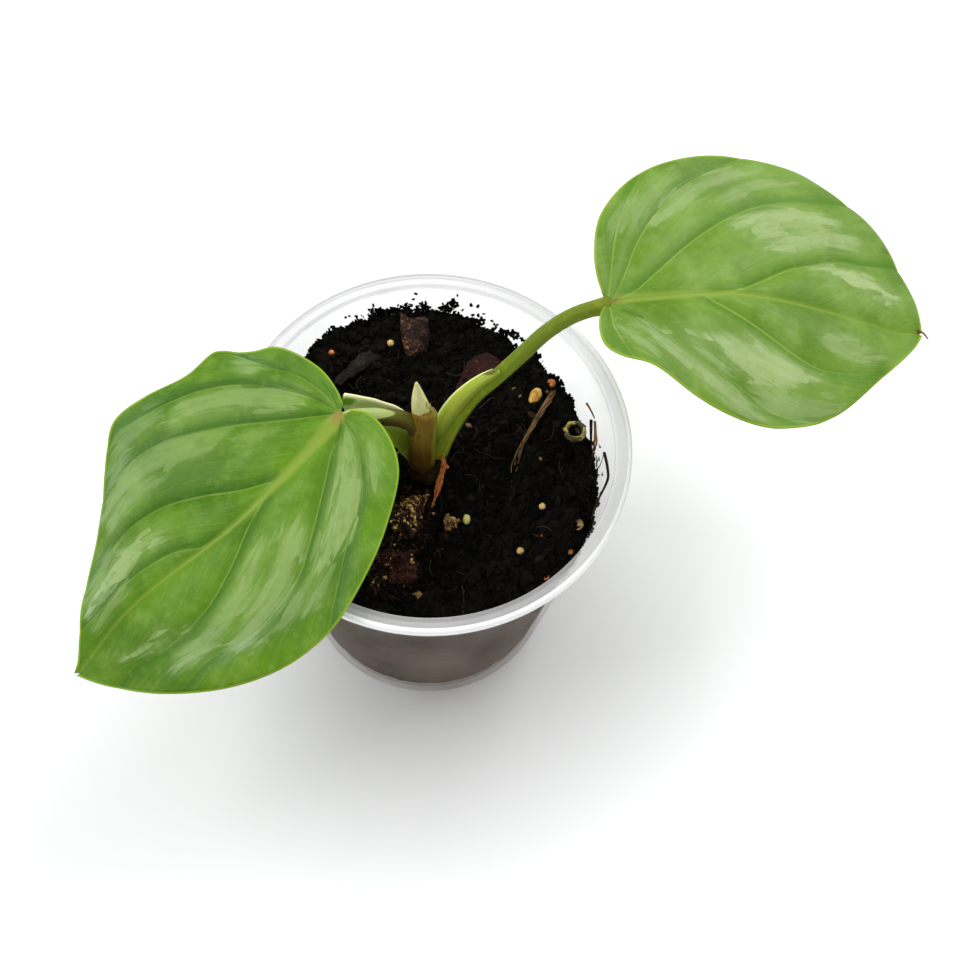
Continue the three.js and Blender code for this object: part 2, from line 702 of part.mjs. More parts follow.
function soilSolid() {
  const vertices = [];
  const triangles = [];
  const bottom = POT_FLOOR + GAP;
  for (let i = 1; i <= SOIL_RINGS; i++) {
    for (let k = 0; k < POT_SIDES; k++) vertices.push(soilPoint(i, k));
  }
  const corner = 1.2;
  const wallRings = [
    [innerRadius(bottom + corner) - GAP, bottom + corner],
    [innerRadius(bottom) - corner, bottom],
  ];
  for (const [radius, height] of wallRings) {
    for (let k = 0; k < POT_SIDES; k++) {
      const angle = (k / POT_SIDES) * 2 * Math.PI;
      vertices.push([radius * Math.cos(angle), radius * Math.sin(angle), height]);
    }
  }
  const rings = SOIL_RINGS + wallRings.length;
  const summit = vertices.length;
  vertices.push([0, 0, soilHeight(0, 0)], [0, 0, bottom]);
  for (let k = 0; k < POT_SIDES; k++) {
    const next = (k + 1) % POT_SIDES;
    triangles.push([summit, k, next]);
    for (let i = 0; i + 1 < rings; i++) {
      const a = i * POT_SIDES + k;
      const b = i * POT_SIDES + next;
      triangles.push([a, a + POT_SIDES, b], [b, a + POT_SIDES, b + POT_SIDES]);
    }
    const last = (rings - 1) * POT_SIDES;
    triangles.push([summit + 1, last + next, last + k]);
  }
  return toSolid(geometryFrom(vertices, triangles));
}

// Assembly

const petioleFoot = STEM_TOP + GAP;
const leftPetiole = trimmedBelow(leftPetioleSolid(0), petioleFoot)
  .subtract(bladeRoom(LEFT_BLADE))
  .subtract(huskSolid(GAP));
const leftPetioleRoom = leftPetioleSolid(GAP);
const rightPetiole = largestBody(
  trimmedBelow(rightPetioleSolid(), petioleFoot)
    .subtract(leftPetioleRoom)
    .subtract(bladeRoom(RIGHT_BLADE))
    .subtract(huskSolid(GAP)));

const random = seededRandom(SEED);
let soil = soilSolid()
  .subtract(stemSolid(GAP))
  .subtract(huskSolid(GAP))
  .subtract(fibreSolid(GAP))
  .subtract(shellRoom());

addPiece('pot', potSolid(), material(POT_COLOUR, 0.35, { transparent: true, opacity: 0.45 }));

for (const chip of chips) {
  const corners = chipCorners(chip, random);
  soil = soil.subtract(hull(corners, GAP));
  addPiece(chip.name, hull(corners, 0).subtract(huskSolid(GAP)), material(chip.colour, 0.9));
}
for (const grain of grains) {
  const corners = grainCorners(grain);
  soil = soil.subtract(hull(corners, GAP));
  addPiece(grain.name, hull(corners, 0), material(grain.colour, 0.6));
}

addPiece('soil', soil, material(SOIL_COLOUR, 0.95));
addPiece('stem', stemSolid(0).subtract(huskSolid(GAP)), material(STEM_COLOUR, 0.8));
addPiece('petiole_left', leftPetiole, material(COLUMN_COLOUR, 0.5));
addPiece('petiole_right', rightPetiole, material(PETIOLE_COLOUR, 0.5));
addPiece('new_shoot', shootSolid().subtract(leftPetioleRoom), material(SHOOT_COLOUR, 0.5));
addPiece('dry_husk', huskSolid(0), material(HUSK_COLOUR, 0.8));
addPiece('fibre_strip', fibreSolid(0), material(FIBRE_COLOUR, 0.9));
addPiece('seed_shell', shellSolid(), material(GRAIN_COLOUR, 0.6));
addPiece('leaf_left', leafSolid(LEFT_BLADE, LEAF_THICKNESS), material(LEAF_COLOUR, 0.4));
addPiece('leaf_right', leafSolid(RIGHT_BLADE, LEAF_THICKNESS), material(LEAF_COLOUR, 0.4));

export default plant;
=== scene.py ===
# %% [markdown]
# # A young philodendron mamei in a clear nursery pot
# The plant has two broad, quilted leaves on sheathed petioles, and a new shoot between them. The
# pot is filled with dark, crumbly mix with chips of bark in it. Every piece below is built round
# the fixed model of the part, in its frame: metres, +Z up, with the origin under the pot.

# %% Load the fixed model
import math

import bmesh
import bpy
import numpy as np
from mathutils import Matrix, Vector, noise


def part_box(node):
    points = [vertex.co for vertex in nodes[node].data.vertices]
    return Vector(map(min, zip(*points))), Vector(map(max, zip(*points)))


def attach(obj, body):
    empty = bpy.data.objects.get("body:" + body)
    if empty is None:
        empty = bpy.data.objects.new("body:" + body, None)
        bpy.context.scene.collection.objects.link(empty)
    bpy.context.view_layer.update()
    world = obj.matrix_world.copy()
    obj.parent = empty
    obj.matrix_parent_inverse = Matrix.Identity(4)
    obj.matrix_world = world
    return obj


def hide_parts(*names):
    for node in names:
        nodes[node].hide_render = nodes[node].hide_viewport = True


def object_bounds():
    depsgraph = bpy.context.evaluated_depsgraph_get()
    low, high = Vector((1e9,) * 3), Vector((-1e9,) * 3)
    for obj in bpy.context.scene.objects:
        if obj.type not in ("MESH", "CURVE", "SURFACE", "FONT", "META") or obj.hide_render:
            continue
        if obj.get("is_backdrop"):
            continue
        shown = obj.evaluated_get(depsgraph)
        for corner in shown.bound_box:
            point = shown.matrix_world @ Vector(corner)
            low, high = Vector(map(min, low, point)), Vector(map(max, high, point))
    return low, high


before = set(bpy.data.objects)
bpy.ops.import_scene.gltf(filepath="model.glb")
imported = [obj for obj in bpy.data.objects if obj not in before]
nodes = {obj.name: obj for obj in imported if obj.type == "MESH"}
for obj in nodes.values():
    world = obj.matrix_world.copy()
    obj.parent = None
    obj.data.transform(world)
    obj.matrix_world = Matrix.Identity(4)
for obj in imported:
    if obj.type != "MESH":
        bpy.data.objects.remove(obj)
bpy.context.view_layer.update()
MM = 0.001

# %% [markdown]
# ## Camera, floor and light
# The photograph looks steeply down on the plant from arm's length, so the camera's height and tilt
# decide how much of the pot's wall shows under its lip. The lens is set by how fast the pot
# narrows towards the floor. A pale floor, a bright room and one broad window behind the plant give
# the soft sheen that lies along the leaves' bulges.

# %% Camera
def in_scene(name, data):
    """A new object in the scene, round a mesh, a lamp or a camera."""
    made = bpy.data.objects.new(name, data)
    bpy.context.scene.collection.objects.link(made)
    return made


CAMERA_PLACE = Vector((0.0109, -0.1574, 0.3661))
CAMERA_TILT = math.radians(64)
CAMERA_ROLL = math.radians(4)
FOCAL_SHARE = 2000 / 980

forward = Vector((0, math.cos(CAMERA_TILT), -math.sin(CAMERA_TILT)))
level = Vector((1, 0, 0))
above = level.cross(forward)
right = math.cos(CAMERA_ROLL) * level + math.sin(CAMERA_ROLL) * above
upward = math.cos(CAMERA_ROLL) * above - math.sin(CAMERA_ROLL) * level
camera = in_scene("camera", bpy.data.cameras.new("camera"))
turn = Matrix((right, upward, -forward)).transposed()
camera.matrix_world = Matrix.Translation(CAMERA_PLACE) @ turn.to_4x4()
camera.data.sensor_width = 36
camera.data.lens = FOCAL_SHARE * camera.data.sensor_width
camera.data.clip_start = 0.01
bpy.context.scene.camera = camera
print("lens", round(camera.data.lens, 1), "mm")

# %% [markdown]
# ## Finishes, by short calls
# A surface gets its colour, relief and gloss from a tree of nodes. Wiring each node by hand takes
# many lines, so one class makes the calls short: noise, a smooth step, a blend of two colours. They
# all read the place of a point in the object, which stays put however the piece is looked at.

# %% Colours and finishes
def colour(red, green, blue):
    """A colour as a screen shows it, 0 to 255, turned into the light it stands for."""
    share = [v / 255 for v in (red, green, blue)]
    return (*[v / 12.92 if v <= 0.04045 else ((v + 0.055) / 1.055) ** 2.4 for v in share], 1)


class Finish:
    """A material that grows by short calls. Each call adds a node and gives back its output."""

    def __init__(self, name, roughness=0.5, specular=0.5):
        self.material = bpy.data.materials.new(name)
        self.material.use_nodes = True
        self.tree = self.material.node_tree
        self.shader = self.tree.nodes["Principled BSDF"]
        self.shader.inputs["Specular IOR Level"].default_value = specular
        self.set("Roughness", roughness)
        self.place = self.add("TexCoord").outputs["Object"]

    def add(self, kind, **settings):
        node = self.tree.nodes.new("ShaderNode" + kind)
        for key, value in settings.items():
            setattr(node, key, value)
        return node

    def put(self, socket, value):
        if isinstance(value, bpy.types.NodeSocket):
            self.tree.links.new(value, socket)
        else:
            socket.default_value = value

    def set(self, name, value):
        self.put(self.shader.inputs[name], value)

    def attribute(self, name):
        return self.add("Attribute", attribute_name=name).outputs

    def parts(self, vector):
        node = self.add("SeparateXYZ")
        self.put(node.inputs[0], vector)
        return node.outputs

    def sums(self, kind, a, b=0.0, c=0.0):
        node = self.add("Math", operation=kind)
        for socket, value in zip(node.inputs, (a, b, c)):
            self.put(socket, value)
        return node.outputs[0]

    def stretch(self, vector, scale):
        node = self.add("Mapping")
        self.put(node.inputs["Vector"], vector)
        node.inputs["Scale"].default_value = scale
        return node.outputs[0]

    def noise(self, scale, detail=4.0, rough=0.5, vector=None, twist=0.0):
        node = self.add("TexNoise")
        self.put(node.inputs["Vector"], vector or self.place)
        values = {"Scale": scale, "Detail": detail, "Roughness": rough, "Distortion": twist}
        for key, value in values.items():
            node.inputs[key].default_value = value
        return node.outputs["Fac"]

    def patches(self, vector):
        """Three even random numbers for each cell of a Voronoi pattern."""
        node = self.add("TexVoronoi")
        self.put(node.inputs["Vector"], vector)
        node.inputs["Scale"].default_value = 1
        return self.parts(node.outputs["Color"])

    def step(self, value, low, high, to_low=0.0, to_high=1.0):
        """Rises smoothly from to_low to to_high while the value goes from low to high."""
        node = self.add("MapRange", interpolation_type="SMOOTHSTEP")
        for socket, number in zip(node.inputs, (value, low, high, to_low, to_high)):
            self.put(socket, number)
        return node.outputs[0]

    def blend(self, share, a, b):
        """From a to b. A colour is an output, three numbers as on a screen, or four as light."""
        node = self.add("Mix", data_type="RGBA")
        self.put(node.inputs["Factor"], share)
        for socket, value in ((node.inputs[6], a), (node.inputs[7], b)):
            on_screen = isinstance(value, tuple) and len(value) == 3
            self.put(socket, colour(*value) if on_screen else value)
        return node.outputs[2]

    def over(self, tint, paint, value, low, high, share=1.0):
        """Lays a paint over a tint, up to its share, as the value goes from low to high."""
        return self.blend(self.step(value, low, high, 0, share), tint, paint)

    def shifted(self, value, random, reach):
        """The value, moved by a random number to as much as half the reach either way."""
        return self.sums("MULTIPLY_ADD", self.sums("SUBTRACT", random, 0.5), reach, value)

    def bump(self, *layers):
        """Each layer is (height, strength, depth in metres)."""
        normal = None
        for height, strength, depth in layers:
            node = self.add("Bump")
            self.put(node.inputs["Height"], height)
            node.inputs["Strength"].default_value = strength
            node.inputs["Distance"].default_value = depth
            if normal:
                self.put(node.inputs["Normal"], normal)
            normal = node.outputs[0]
        self.set("Normal", normal)


print("the screen's middle grey stands for", round(colour(128, 128, 128)[0], 3), "of the light")


# %% Floor and light
def area_light(name, place, size, watts, tint=(1, 1, 1)):
    lamp = bpy.data.lights.new(name, "AREA")
    lamp.shape = "RECTANGLE"
    lamp.size, lamp.size_y = size
    lamp.energy = watts
    lamp.color = tint
    holder = in_scene(name, lamp)
    holder.location = place
    holder.rotation_euler = (Vector((0, 0, 0.06)) - Vector(place)).to_track_quat("-Z", "Y").to_euler()


paper = Finish("floor paper", roughness=0.9, specular=0.1)
paper.set("Base Color", paper.blend(paper.noise(30), (0.9, 0.9, 0.9, 1), (0.92, 0.92, 0.92, 1)))
FLOOR_HALF = 3
floor_mesh = bpy.data.meshes.new("floor")
corners = [(x * FLOOR_HALF, y * FLOOR_HALF, 0) for x, y in ((-1, -1), (1, -1), (1, 1), (-1, 1))]
floor_mesh.from_pydata(corners, [], [(0, 1, 2, 3)])
floor_mesh.materials.append(paper.material)
in_scene("floor", floor_mesh)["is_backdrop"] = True

room = bpy.data.worlds.new("room")
room.use_nodes = True
room.node_tree.nodes["Background"].inputs["Color"].default_value = (1, 1, 1, 1)
room.node_tree.nodes["Background"].inputs["Strength"].default_value = 0.62
bpy.context.scene.world = room
bpy.context.scene.view_settings.view_transform = "Standard"
area_light("window", (0.5, 0.55, 0.8), (0.7, 0.5), 7, (0.97, 0.99, 1))
area_light("skylight", (-0.6, -0.05, 0.8), (0.6, 0.5), 6, (0.97, 0.99, 1))

# %% [markdown]
# ## From arrays to pieces
# Most pieces here are grids of points: a tube is a grid bent round a path, a sheath is a grid
# between two edges, and a leaf is a grid that fans out from its midrib. So a few helpers do most of
# the work: one puts a smooth curve through a handful of points, one turns points and faces into a
# piece with merged corners, and named numbers on the points tell the finishes where they are.

# %% Curves and grids
def smooth(x):
    x = np.clip(x, 0, 1)
    return x * x * (3 - 2 * x)


SPAN_STEPS = 24


def curve_through(points, count):
    """A centripetal Catmull-Rom curve through the points, as points at equal distances."""
    p = np.array(points, float)
    p = np.vstack([2 * p[0] - p[1], p, 2 * p[-1] - p[-2]])
    fine = []
    for a, b, c, d in zip(p, p[1:], p[2:], p[3:]):
        gaps = [max(np.linalg.norm(v - u) ** 0.5, 1e-6) for u, v in ((a, b), (b, c), (c, d))]
        t0, t1, t2, t3 = 0, gaps[0], gaps[0] + gaps[1], sum(gaps)
        t = np.linspace(t1, t2, SPAN_STEPS, endpoint=False)[:, None]
        ab = (t1 - t) / (t1 - t0) * a + (t - t0) / (t1 - t0) * b
        bc = (t2 - t) / (t2 - t1) * b + (t - t1) / (t2 - t1) * c
        cd = (t3 - t) / (t3 - t2) * c + (t - t2) / (t3 - t2) * d
        abc = (t2 - t) / (t2 - t0) * ab + (t - t0) / (t2 - t0) * bc
        bcd = (t3 - t) / (t3 - t1) * bc + (t - t1) / (t3 - t1) * cd
        fine.append((t2 - t) / (t2 - t1) * abc + (t - t1) / (t2 - t1) * bcd)
    fine = np.vstack([*fine, p[-2:-1]])
    reach = np.r_[0, np.cumsum(np.linalg.norm(np.diff(fine, axis=0), axis=1))]
    even = np.linspace(0, reach[-1], count)
    return np.column_stack([np.interp(even, reach, fine[:, i]) for i in range(p.shape[1])])


print("a curve over three points:", curve_through([(0, 0), (2, 2), (4, 0)], 5).round(2).tolist())


# %% Faces over a grid, and corners made one
def grid_faces(rows, columns, first=0, closed=False):
    """Quads over a grid of points, row by row. A closed grid joins its last column to its first."""
    faces = []
    for i in range(rows - 1):
        for j in range(columns if closed else columns - 1):
            k = (j + 1) % columns
            faces.append((first + i * columns + j, first + i * columns + k,
                          first + (i + 1) * columns + k, first + (i + 1) * columns + j))
    return faces


def merge_corners(points, faces, grain):
    """Makes one of the corners that share a grain of space. Gives the corners and the faces left."""
    grains = np.round(points / grain).astype(np.int64)
    _, first, index = np.unique(grains, axis=0, return_index=True, return_inverse=True)
    index, kept = index.ravel(), []
    for face in faces:
        ring = [int(index[v]) for v in face]
        ring = [v for n, v in enumerate(ring) if v != ring[n - 1]]
        if len(set(ring)) == len(ring) >= 3:
            kept.append(ring)
    return first, kept


print("a grid of 4 by 5 points has", len(grid_faces(4, 5)), "faces")


# %% From points and faces to a finished piece
def piece(name, points, faces, finish, marks=None):
    """A mesh in millimetres, with merged corners, faces turned outwards and marks on its points."""
    points = np.asarray(points, float)
    first, kept = merge_corners(points, faces, 1e-4)
    mesh = bpy.data.meshes.new(name)
    mesh.from_pydata((points[first] * MM).tolist(), [], kept)
    for key, values in (marks or {}).items():
        values = np.asarray(values, np.float32)[first]
        if values.ndim == 1:
            mesh.attributes.new(key, "FLOAT", "POINT").data.foreach_set("value", values)
        else:
            mesh.attributes.new(key, "FLOAT_VECTOR", "POINT").data.foreach_set("vector", values.ravel())
    shape = bmesh.new()
    shape.from_mesh(mesh)
    bmesh.ops.recalc_face_normals(shape, faces=shape.faces)
    shape.to_mesh(mesh)
    shape.free()
    mesh.polygons.foreach_set("use_smooth", [True] * len(mesh.polygons))
    mesh.materials.append(finish.material)
    return in_scene(name, mesh)


def settle(made, slot, *stands_for):
    """Gives a finished piece its body and hides the solids that it stands for. The slot is not used."""
    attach(made, "root")
    if stands_for:
        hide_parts(*stands_for)
    print(made.name, len(made.data.polygons), "faces")


print("helpers ready")

# %% [markdown]
# ## The blades: how they grow
# Each blade is drawn flat first, as half a blade on either side of the midrib: s is the distance
# along the midrib and y the distance out from it. Every half has its outline and its main veins.
# Rows of points then fan out from the midrib to the margin, bending with the veins, so a vein is
# always a row of its own and can be a sharp groove. Patterns can follow the same rows.

# %% How a main vein is written
def vein(depth, *line, start=0):
    """A main vein: its groove's depth, its (s, y) points, and the s where it leaves the midrib."""
    return {"depth": depth, "line": list(line), "start": start}


print(vein(1, (1, 1.6), (4, 6)))

# %% The left blade
# joint is where it meets its petiole. heading and pitch are its directions there and at the tip, in
# degrees, and fold is how far the half of side -1 is bent up, at the joint and from halfway on. rib
# is the midrib's half width at RIB_STATIONS. A stroke is half its width, its strength and its middle
# line, as pairs of the row that it follows and the share of the way out from the midrib.
RIB_STATIONS = [0, 2, 10, 14, 22, 32, 45]
LEFT_BLADE = dict(
    joint=(-14.9, -0.8, 70), length=64, heading=(226, 222), pitch=(-6, -38), fold=(0, 0),
    midrib=[(0, 0), (8, 1.2), (16, 1.8), (24, 2.1), (32, 1.4), (42, -0.1), (50, -0.7), (58, -0.2),
            (64, 0.3)],
    rib=[0.7, 1.3, 0.85, 0.8, 0.45, 0.28, 0.12],
    halves=[
        dict(side=1,
             outline=[(-1.6, 0.9), (-3.3, 3.5), (-3.3, 8), (-0.8, 13.7), (7, 19.5), (14.6, 23.5),
                      (24, 26.2), (34, 25.5), (44, 21.5), (53, 14.5), (60, 6.5), (64, 0.3)],
             veins=[vein(0, (-0.6, 3), (-1.2, 7), (-1.4, 12.8)),
                    vein(0.7, (0.6, 2), (1.2, 5.3), (4.4, 10.2), (8.1, 13.9), (16, 19), (26, 26)),
                    vein(1, (1.8, 1.9), (5.7, 4.1), (9.3, 6.8), (13.6, 9.9), (19.1, 13.6), (22.8, 15.8),
                         (28.9, 17.5), (35, 17.9), (43.9, 15.8), (51, 16)),
                    vein(0.8, (20.8, 3), (23.6, 3.8), (29.4, 6.5), (36.2, 8.8), (41.6, 9.4),
                         (48.1, 8.9), (54.3, 7.2), (59.3, 7.3), start=18)],
             strokes=[(0.71, 0.7, [(4.1, 0.57), (4.42, 0.72)]), (0.43, 0.6, [(4.3, 0.45), (4.3, 0.56)]),
                      (2.1, 0.62, [(3.3, 0.28), (3.2, 0.45), (3.1, 0.68), (2.8, 0.85)]),
                      (1.4, 0.5, [(3.67, 0.3), (3.6, 0.45), (3.55, 0.68), (3.3, 0.9)]),
                      (1.2, 0.4, [(2.6, 0.58), (2.55, 0.8)]), (0.71, 0.6, [(3.2, 0.52), (2.84, 0.88)]),
                      (2.2, 0.75, [(2.34, 0.2), (2.37, 0.6)]), (1, 0.5, [(2.4, 0.5), (2.35, 0.8)]),
                      (1.2, 0.55, [(2.38, 0.1), (2.38, 0.32)]), (1.3, 0.4, [(1.1, 0.4), (1.3, 0.76)])]),
        dict(side=-1,
             outline=[(-1.6, 1.4), (-2.5, 4), (-3, 9), (-0.4, 17.2), (2.8, 19.6), (4.8, 21.6),
                      (6.4, 24), (8, 25.3), (14.5, 25.4), (23, 27.6), (30, 28.2), (37, 22.5),
                      (46.5, 13.5), (56, 6.3), (62, 1.2), (64, 0.3)],
             veins=[vein(0, (-1.2, 4), (-1.6, 9), (-0.4, 17.2)),
                    vein(0.6, (-0.3, 1.6), (-0.3, 6.3), (0.9, 11.6), (2.8, 14.9), (7.5, 24.3)),
                    vein(1, (0.3, 1.6), (1.9, 7.1), (4.3, 11.1), (8.5, 16.5), (14, 20.8), (20.8, 23.8),
                         (27.1, 25.5), (31.1, 26.2), (33.6, 25.6)),
                    vein(1, (1.6, 1.5), (5.4, 4.3), (9.9, 7.8), (15.1, 12), (21, 15.8), (27.6, 19.2),
                         (33.1, 20.2), (38.2, 19.5), (40.8, 19)),
                    vein(1, (16.9, -0.6), (20.8, 1.6), (26.3, 5.6), (32.4, 9.2), (38.5, 10.9),
                         (43.8, 10.7), (49.1, 9.2), (52.5, 8.7), start=15.5),
                    vein(0.6, (31.9, -1.1), (35.7, 1.5), (40.5, 3.2), (47.2, 4.3), (52.7, 4.2),
                         (58.2, 4.3), start=29)],
             strokes=[(2.13, 0.5, [(3.3, 0.16), (3.38, 0.45), (3.4, 0.68)]),
                      (1.6, 0.35, [(3.7, 0.82), (3.9, 1.0)]),
                      (2.4, 0.42, [(4.2, 0.36), (4.2, 0.6), (4.2, 0.98)]),
                      (1.2, 0.22, [(4.25, 0.18), (4.2, 0.4)]), (2, 0.3, [(3.2, 0.72), (3.3, 0.95)]),
                      (1.6, 0.4, [(4.45, 0.6), (4.5, 0.9)]),
                      (1.6, 0.8, [(5.46, 0.43), (5.58, 0.66), (5.64, 0.94)]),
                      (2, 0.4, [(5.2, 0.75), (5.3, 1.0)]), (0.8, 0.6, [(6.04, 0.55), (6.08, 0.75)]),
                      (1.3, 0.35, [(6.2, 0.5), (6.4, 0.78)]),
                      (1.14, 0.45, [(2.14, 0.57), (2.03, 0.85)])]),
    ])
print("left blade", LEFT_BLADE["length"], "mm long")

# %% The right blade
RIGHT_BLADE = dict(
    joint=(28.1, 14.9, 86), length=57, heading=(8, 4), pitch=(2, -28), fold=(28, -4),
    midrib=[(0, 0), (8, 0.6), (15, 1.2), (22, 1.6), (30, 1), (38, 0.1), (46, -0.6), (52, -0.9),
            (57, 0.3)],
    rib=[0.5, 0.95, 0.75, 0.6, 0.42, 0.28, 0.16],
    halves=[
        dict(side=1,
             outline=[(-0.9, 1.6), (-1.4, 4.6), (-1.4, 9.4), (0.5, 18), (7, 26.2), (17, 30.4), (28, 32),
                      (37, 30.7), (41.5, 27.6), (46.7, 22.6), (52.2, 15), (56, 6.8), (57, 0.3)],
             veins=[vein(0.5, (0.1, 0.9), (1.1, 6.1), (2.3, 12), (3.9, 17.1), (8.5, 27)),
                    vein(0.8, (1.2, 1.3), (3.5, 5.9), (5.6, 10.8), (8.2, 15.3), (11.3, 19.6),
                         (14.8, 23.5), (18.2, 26.2), (27, 31.9)),
                    vein(1, (3.8, 1.4), (8.2, 5.2), (12.8, 9.6), (17.6, 13.8), (22.3, 17.3),
                         (27.7, 20.3), (34.4, 22.4), (38.3, 22.8), (45.6, 23.8)),
                    vein(1, (22.3, 2.4), (26.8, 4.7), (31.6, 7.4), (36.4, 9.1), (41.3, 10.6),
                         (46.3, 11), (53.7, 11.9), start=18)],
             strokes=[(1.5, 0.28, [(1.5, 0.42), (1.45, 0.88)]), (1.5, 0.34, [(1, 0.45), (1.1, 0.78)]),
                      (2, 0.5, [(2.15, 0.42), (2.2, 0.6), (2.3, 0.9)]),
                      (1.2, 0.45, [(2.6, 0.6), (2.6, 0.9)]), (1.9, 0.7, [(3.14, 0.5), (3.35, 0.85)]),
                      (1.2, 0.6, [(3.35, 0.48), (3.47, 0.82)]),
                      (1.7, 0.62, [(3.6, 0.46), (3.62, 0.6), (3.66, 0.84)]),
                      (1.8, 0.85, [(4.13, 0.45), (4.2, 0.6), (4.5, 0.75)]),
                      (1, 0.7, [(4.52, 0.5), (4.55, 0.68)])]),
        dict(side=-1,
             outline=[(-0.9, 1.3), (-1.7, 3.6), (-2.4, 8.8), (-1.7, 13.6), (0.6, 16.2), (5, 17.2),
                      (11.3, 20.7), (20.4, 22.1), (29, 21.7), (38.8, 18.2), (47.8, 10.4), (54.9, 3.4),
                      (57, 0.3)],
             veins=[vein(0.3, (0, 3), (0, 7), (0.6, 11), (2, 16.5)),
                    vein(1, (0.7, 1.2), (3.2, 3.3), (6, 6), (10, 10.6), (14.2, 13.4), (20.1, 15.7),
                         (26, 18.7), (31.4, 19.8), (36, 19.4)),
                    vein(1, (19.7, 1.3), (23.7, 3.7), (27.8, 6.4), (31.9, 9), (36.3, 10.7),
                         (45.8, 10.4), (48.5, 9.6), start=15.5)],
             strokes=[(1.7, 0.45, [(3.3, 0.42), (3.4, 0.8)]), (2.42, 0.75, [(2.45, 0.34), (2.5, 0.7)]),
                      (1.4, 0.75, [(2.72, 0.38), (2.72, 0.74)]), (2.4, 0.4, [(2.2, 0.62), (2.3, 0.96)]),
                      (2.1, 0.6, [(1.72, 0.22), (1.65, 0.55), (1.78, 0.86)]),
                      (1.3, 0.45, [(2.15, 0.3), (2.15, 0.55)]),
                      (1.6, 0.45, [(1.08, 0.4), (1.2, 0.76)])]),
    ])
print("right blade", RIGHT_BLADE["length"], "mm long")

# %% [markdown]
# ## The blades: rows along the veins
# Between two veins the rows are mixed from both, so they fan out evenly. The lobes' rows all start
# at the joint; the others start along the midrib, at stations that both halves share.

# %% Fan out the rows
ROW_STEPS = 46
ROW_SPACING = 0.6
LOBE_ROWS = 1.35
MARGIN_STEPS = 2000


def midrib_at(blade, s):
    """How far the midrib lies to the side, at distances along it."""
    line = curve_through(blade["midrib"], 200)
    return np.interp(s, line[:, 0], line[:, 1])


def midrib_stations(blade):
    """Where rows start along the midrib: evenly, and at the start of every main vein."""
    starts = {0, blade["length"]} | {v["start"] for h in blade["halves"] for v in h["veins"]}
    starts = sorted(starts)
    return np.concatenate([np.linspace(a, b, max(1, round((b - a) / ROW_SPACING)), endpoint=False)
                           for a, b in zip(starts, starts[1:])])


print(len(midrib_stations(LEFT_BLADE)), "rows start along the left blade's midrib")


# %% Fan out the rows of one half
def half_rows(blade, half, stations):
    """Rows of (s, y) points from the midrib to the margin, with each row's place between the veins
    and its share of the way along the margin."""
    side, length = half["side"], blade["length"]
    margin = curve_through(half["outline"], MARGIN_STEPS + 1)
    t = np.linspace(0, 1, ROW_STEPS + 1)
    guides = [dict(start=0, at=0, line=[(0, 0), half["outline"][0]])]
    for v in half["veins"]:
        start = v["start"]
        end = int(np.argmin(((margin - v["line"][-1]) ** 2).sum(1)))
        first = (start, side * midrib_at(blade, start))
        guides.append(dict(start=start, at=end / MARGIN_STEPS,
                           line=[first, *v["line"][:-1], margin[end]]))
    guides.append(dict(start=length, at=1, line=[margin[-1], margin[-1] + (1e-6, 0)]))
    for guide in guides:
        guide["points"] = curve_through(guide["line"], ROW_STEPS + 1)
    rows, flow, share = [], [], []

    def add_row(k, part, s):
        a, b = guides[k], guides[k + 1]
        line = a["points"] * (1 - part) + b["points"] * part
        at = (a["at"] * (1 - part) + b["at"] * part) * MARGIN_STEPS
        i = min(int(at), MARGIN_STEPS - 1)
        end = margin[i] + (margin[i + 1] - margin[i]) * (at - i)
        first = np.array([s, side * midrib_at(blade, s)])
        to_margin = (t ** 2)[:, None] * (end - line[-1])
        to_midrib = ((1 - t) ** 2)[:, None] * (first - line[0])
        rows.append(line + to_margin + to_midrib)
        flow.append(k + part)
        share.append(at / MARGIN_STEPS)

    for k, (a, b) in enumerate(zip(guides, guides[1:])):
        if b["start"] == 0:
            count = max(3, round((b["at"] - a["at"]) * length * LOBE_ROWS / ROW_SPACING))
            for i in range(count):
                add_row(k, i / count, 0)
        else:
            for s in stations[(stations >= a["start"] - 1e-9) & (stations < b["start"] - 1e-9)]:
                add_row(k, (s - a["start"]) / (b["start"] - a["start"]), s)
    rows = np.array([*rows, np.repeat(margin[-1:], ROW_STEPS + 1, 0)])
    run = np.pad(np.cumsum(np.linalg.norm(np.diff(rows, axis=1), axis=2), axis=1), ((0, 0), (1, 0)))
    least = side * midrib_at(blade, rows[..., 0]) + np.minimum(0.3 * run, 0.8) * (1 - t)
    rows[..., 1] = np.maximum(rows[..., 1], least)
    flow, share = np.array([*flow, len(guides) - 1.0]), np.array([*share, 1.0])
    return untangled(rows), flow, share, guides, margin


print("each row has", ROW_STEPS + 1, "points")


# %% Open up rows that cross
CALMING_ROUNDS = 150


def untangled(rows):
    """The same grid, with the corners of its folded cells drawn towards their neighbours."""
    for _ in range(CALMING_ROUNDS):
        a, b = rows[1:, 1:] - rows[:-1, :-1], rows[:-1, 1:] - rows[1:, :-1]
        area = a[..., 0] * b[..., 1] - a[..., 1] * b[..., 0]
        folded = area * np.sign(np.median(area)) < 1e-5
        touched = np.zeros(rows.shape[:2], bool)
        for i, j in ((0, 0), (0, 1), (1, 0), (1, 1)):
            touched[i:i + len(folded), j:j + folded.shape[1]] |= folded
        calm = rows.copy()
        calm[1:-1, 1:-1] = (rows[:-2, 1:-1] + rows[2:, 1:-1] + rows[1:-1, :-2] + rows[1:-1, 2:]) / 4
        rows = np.where(touched[..., None], calm, rows)
    print("folded cells left:", int(folded[:-1].sum()))
    return rows


print("rows ready")

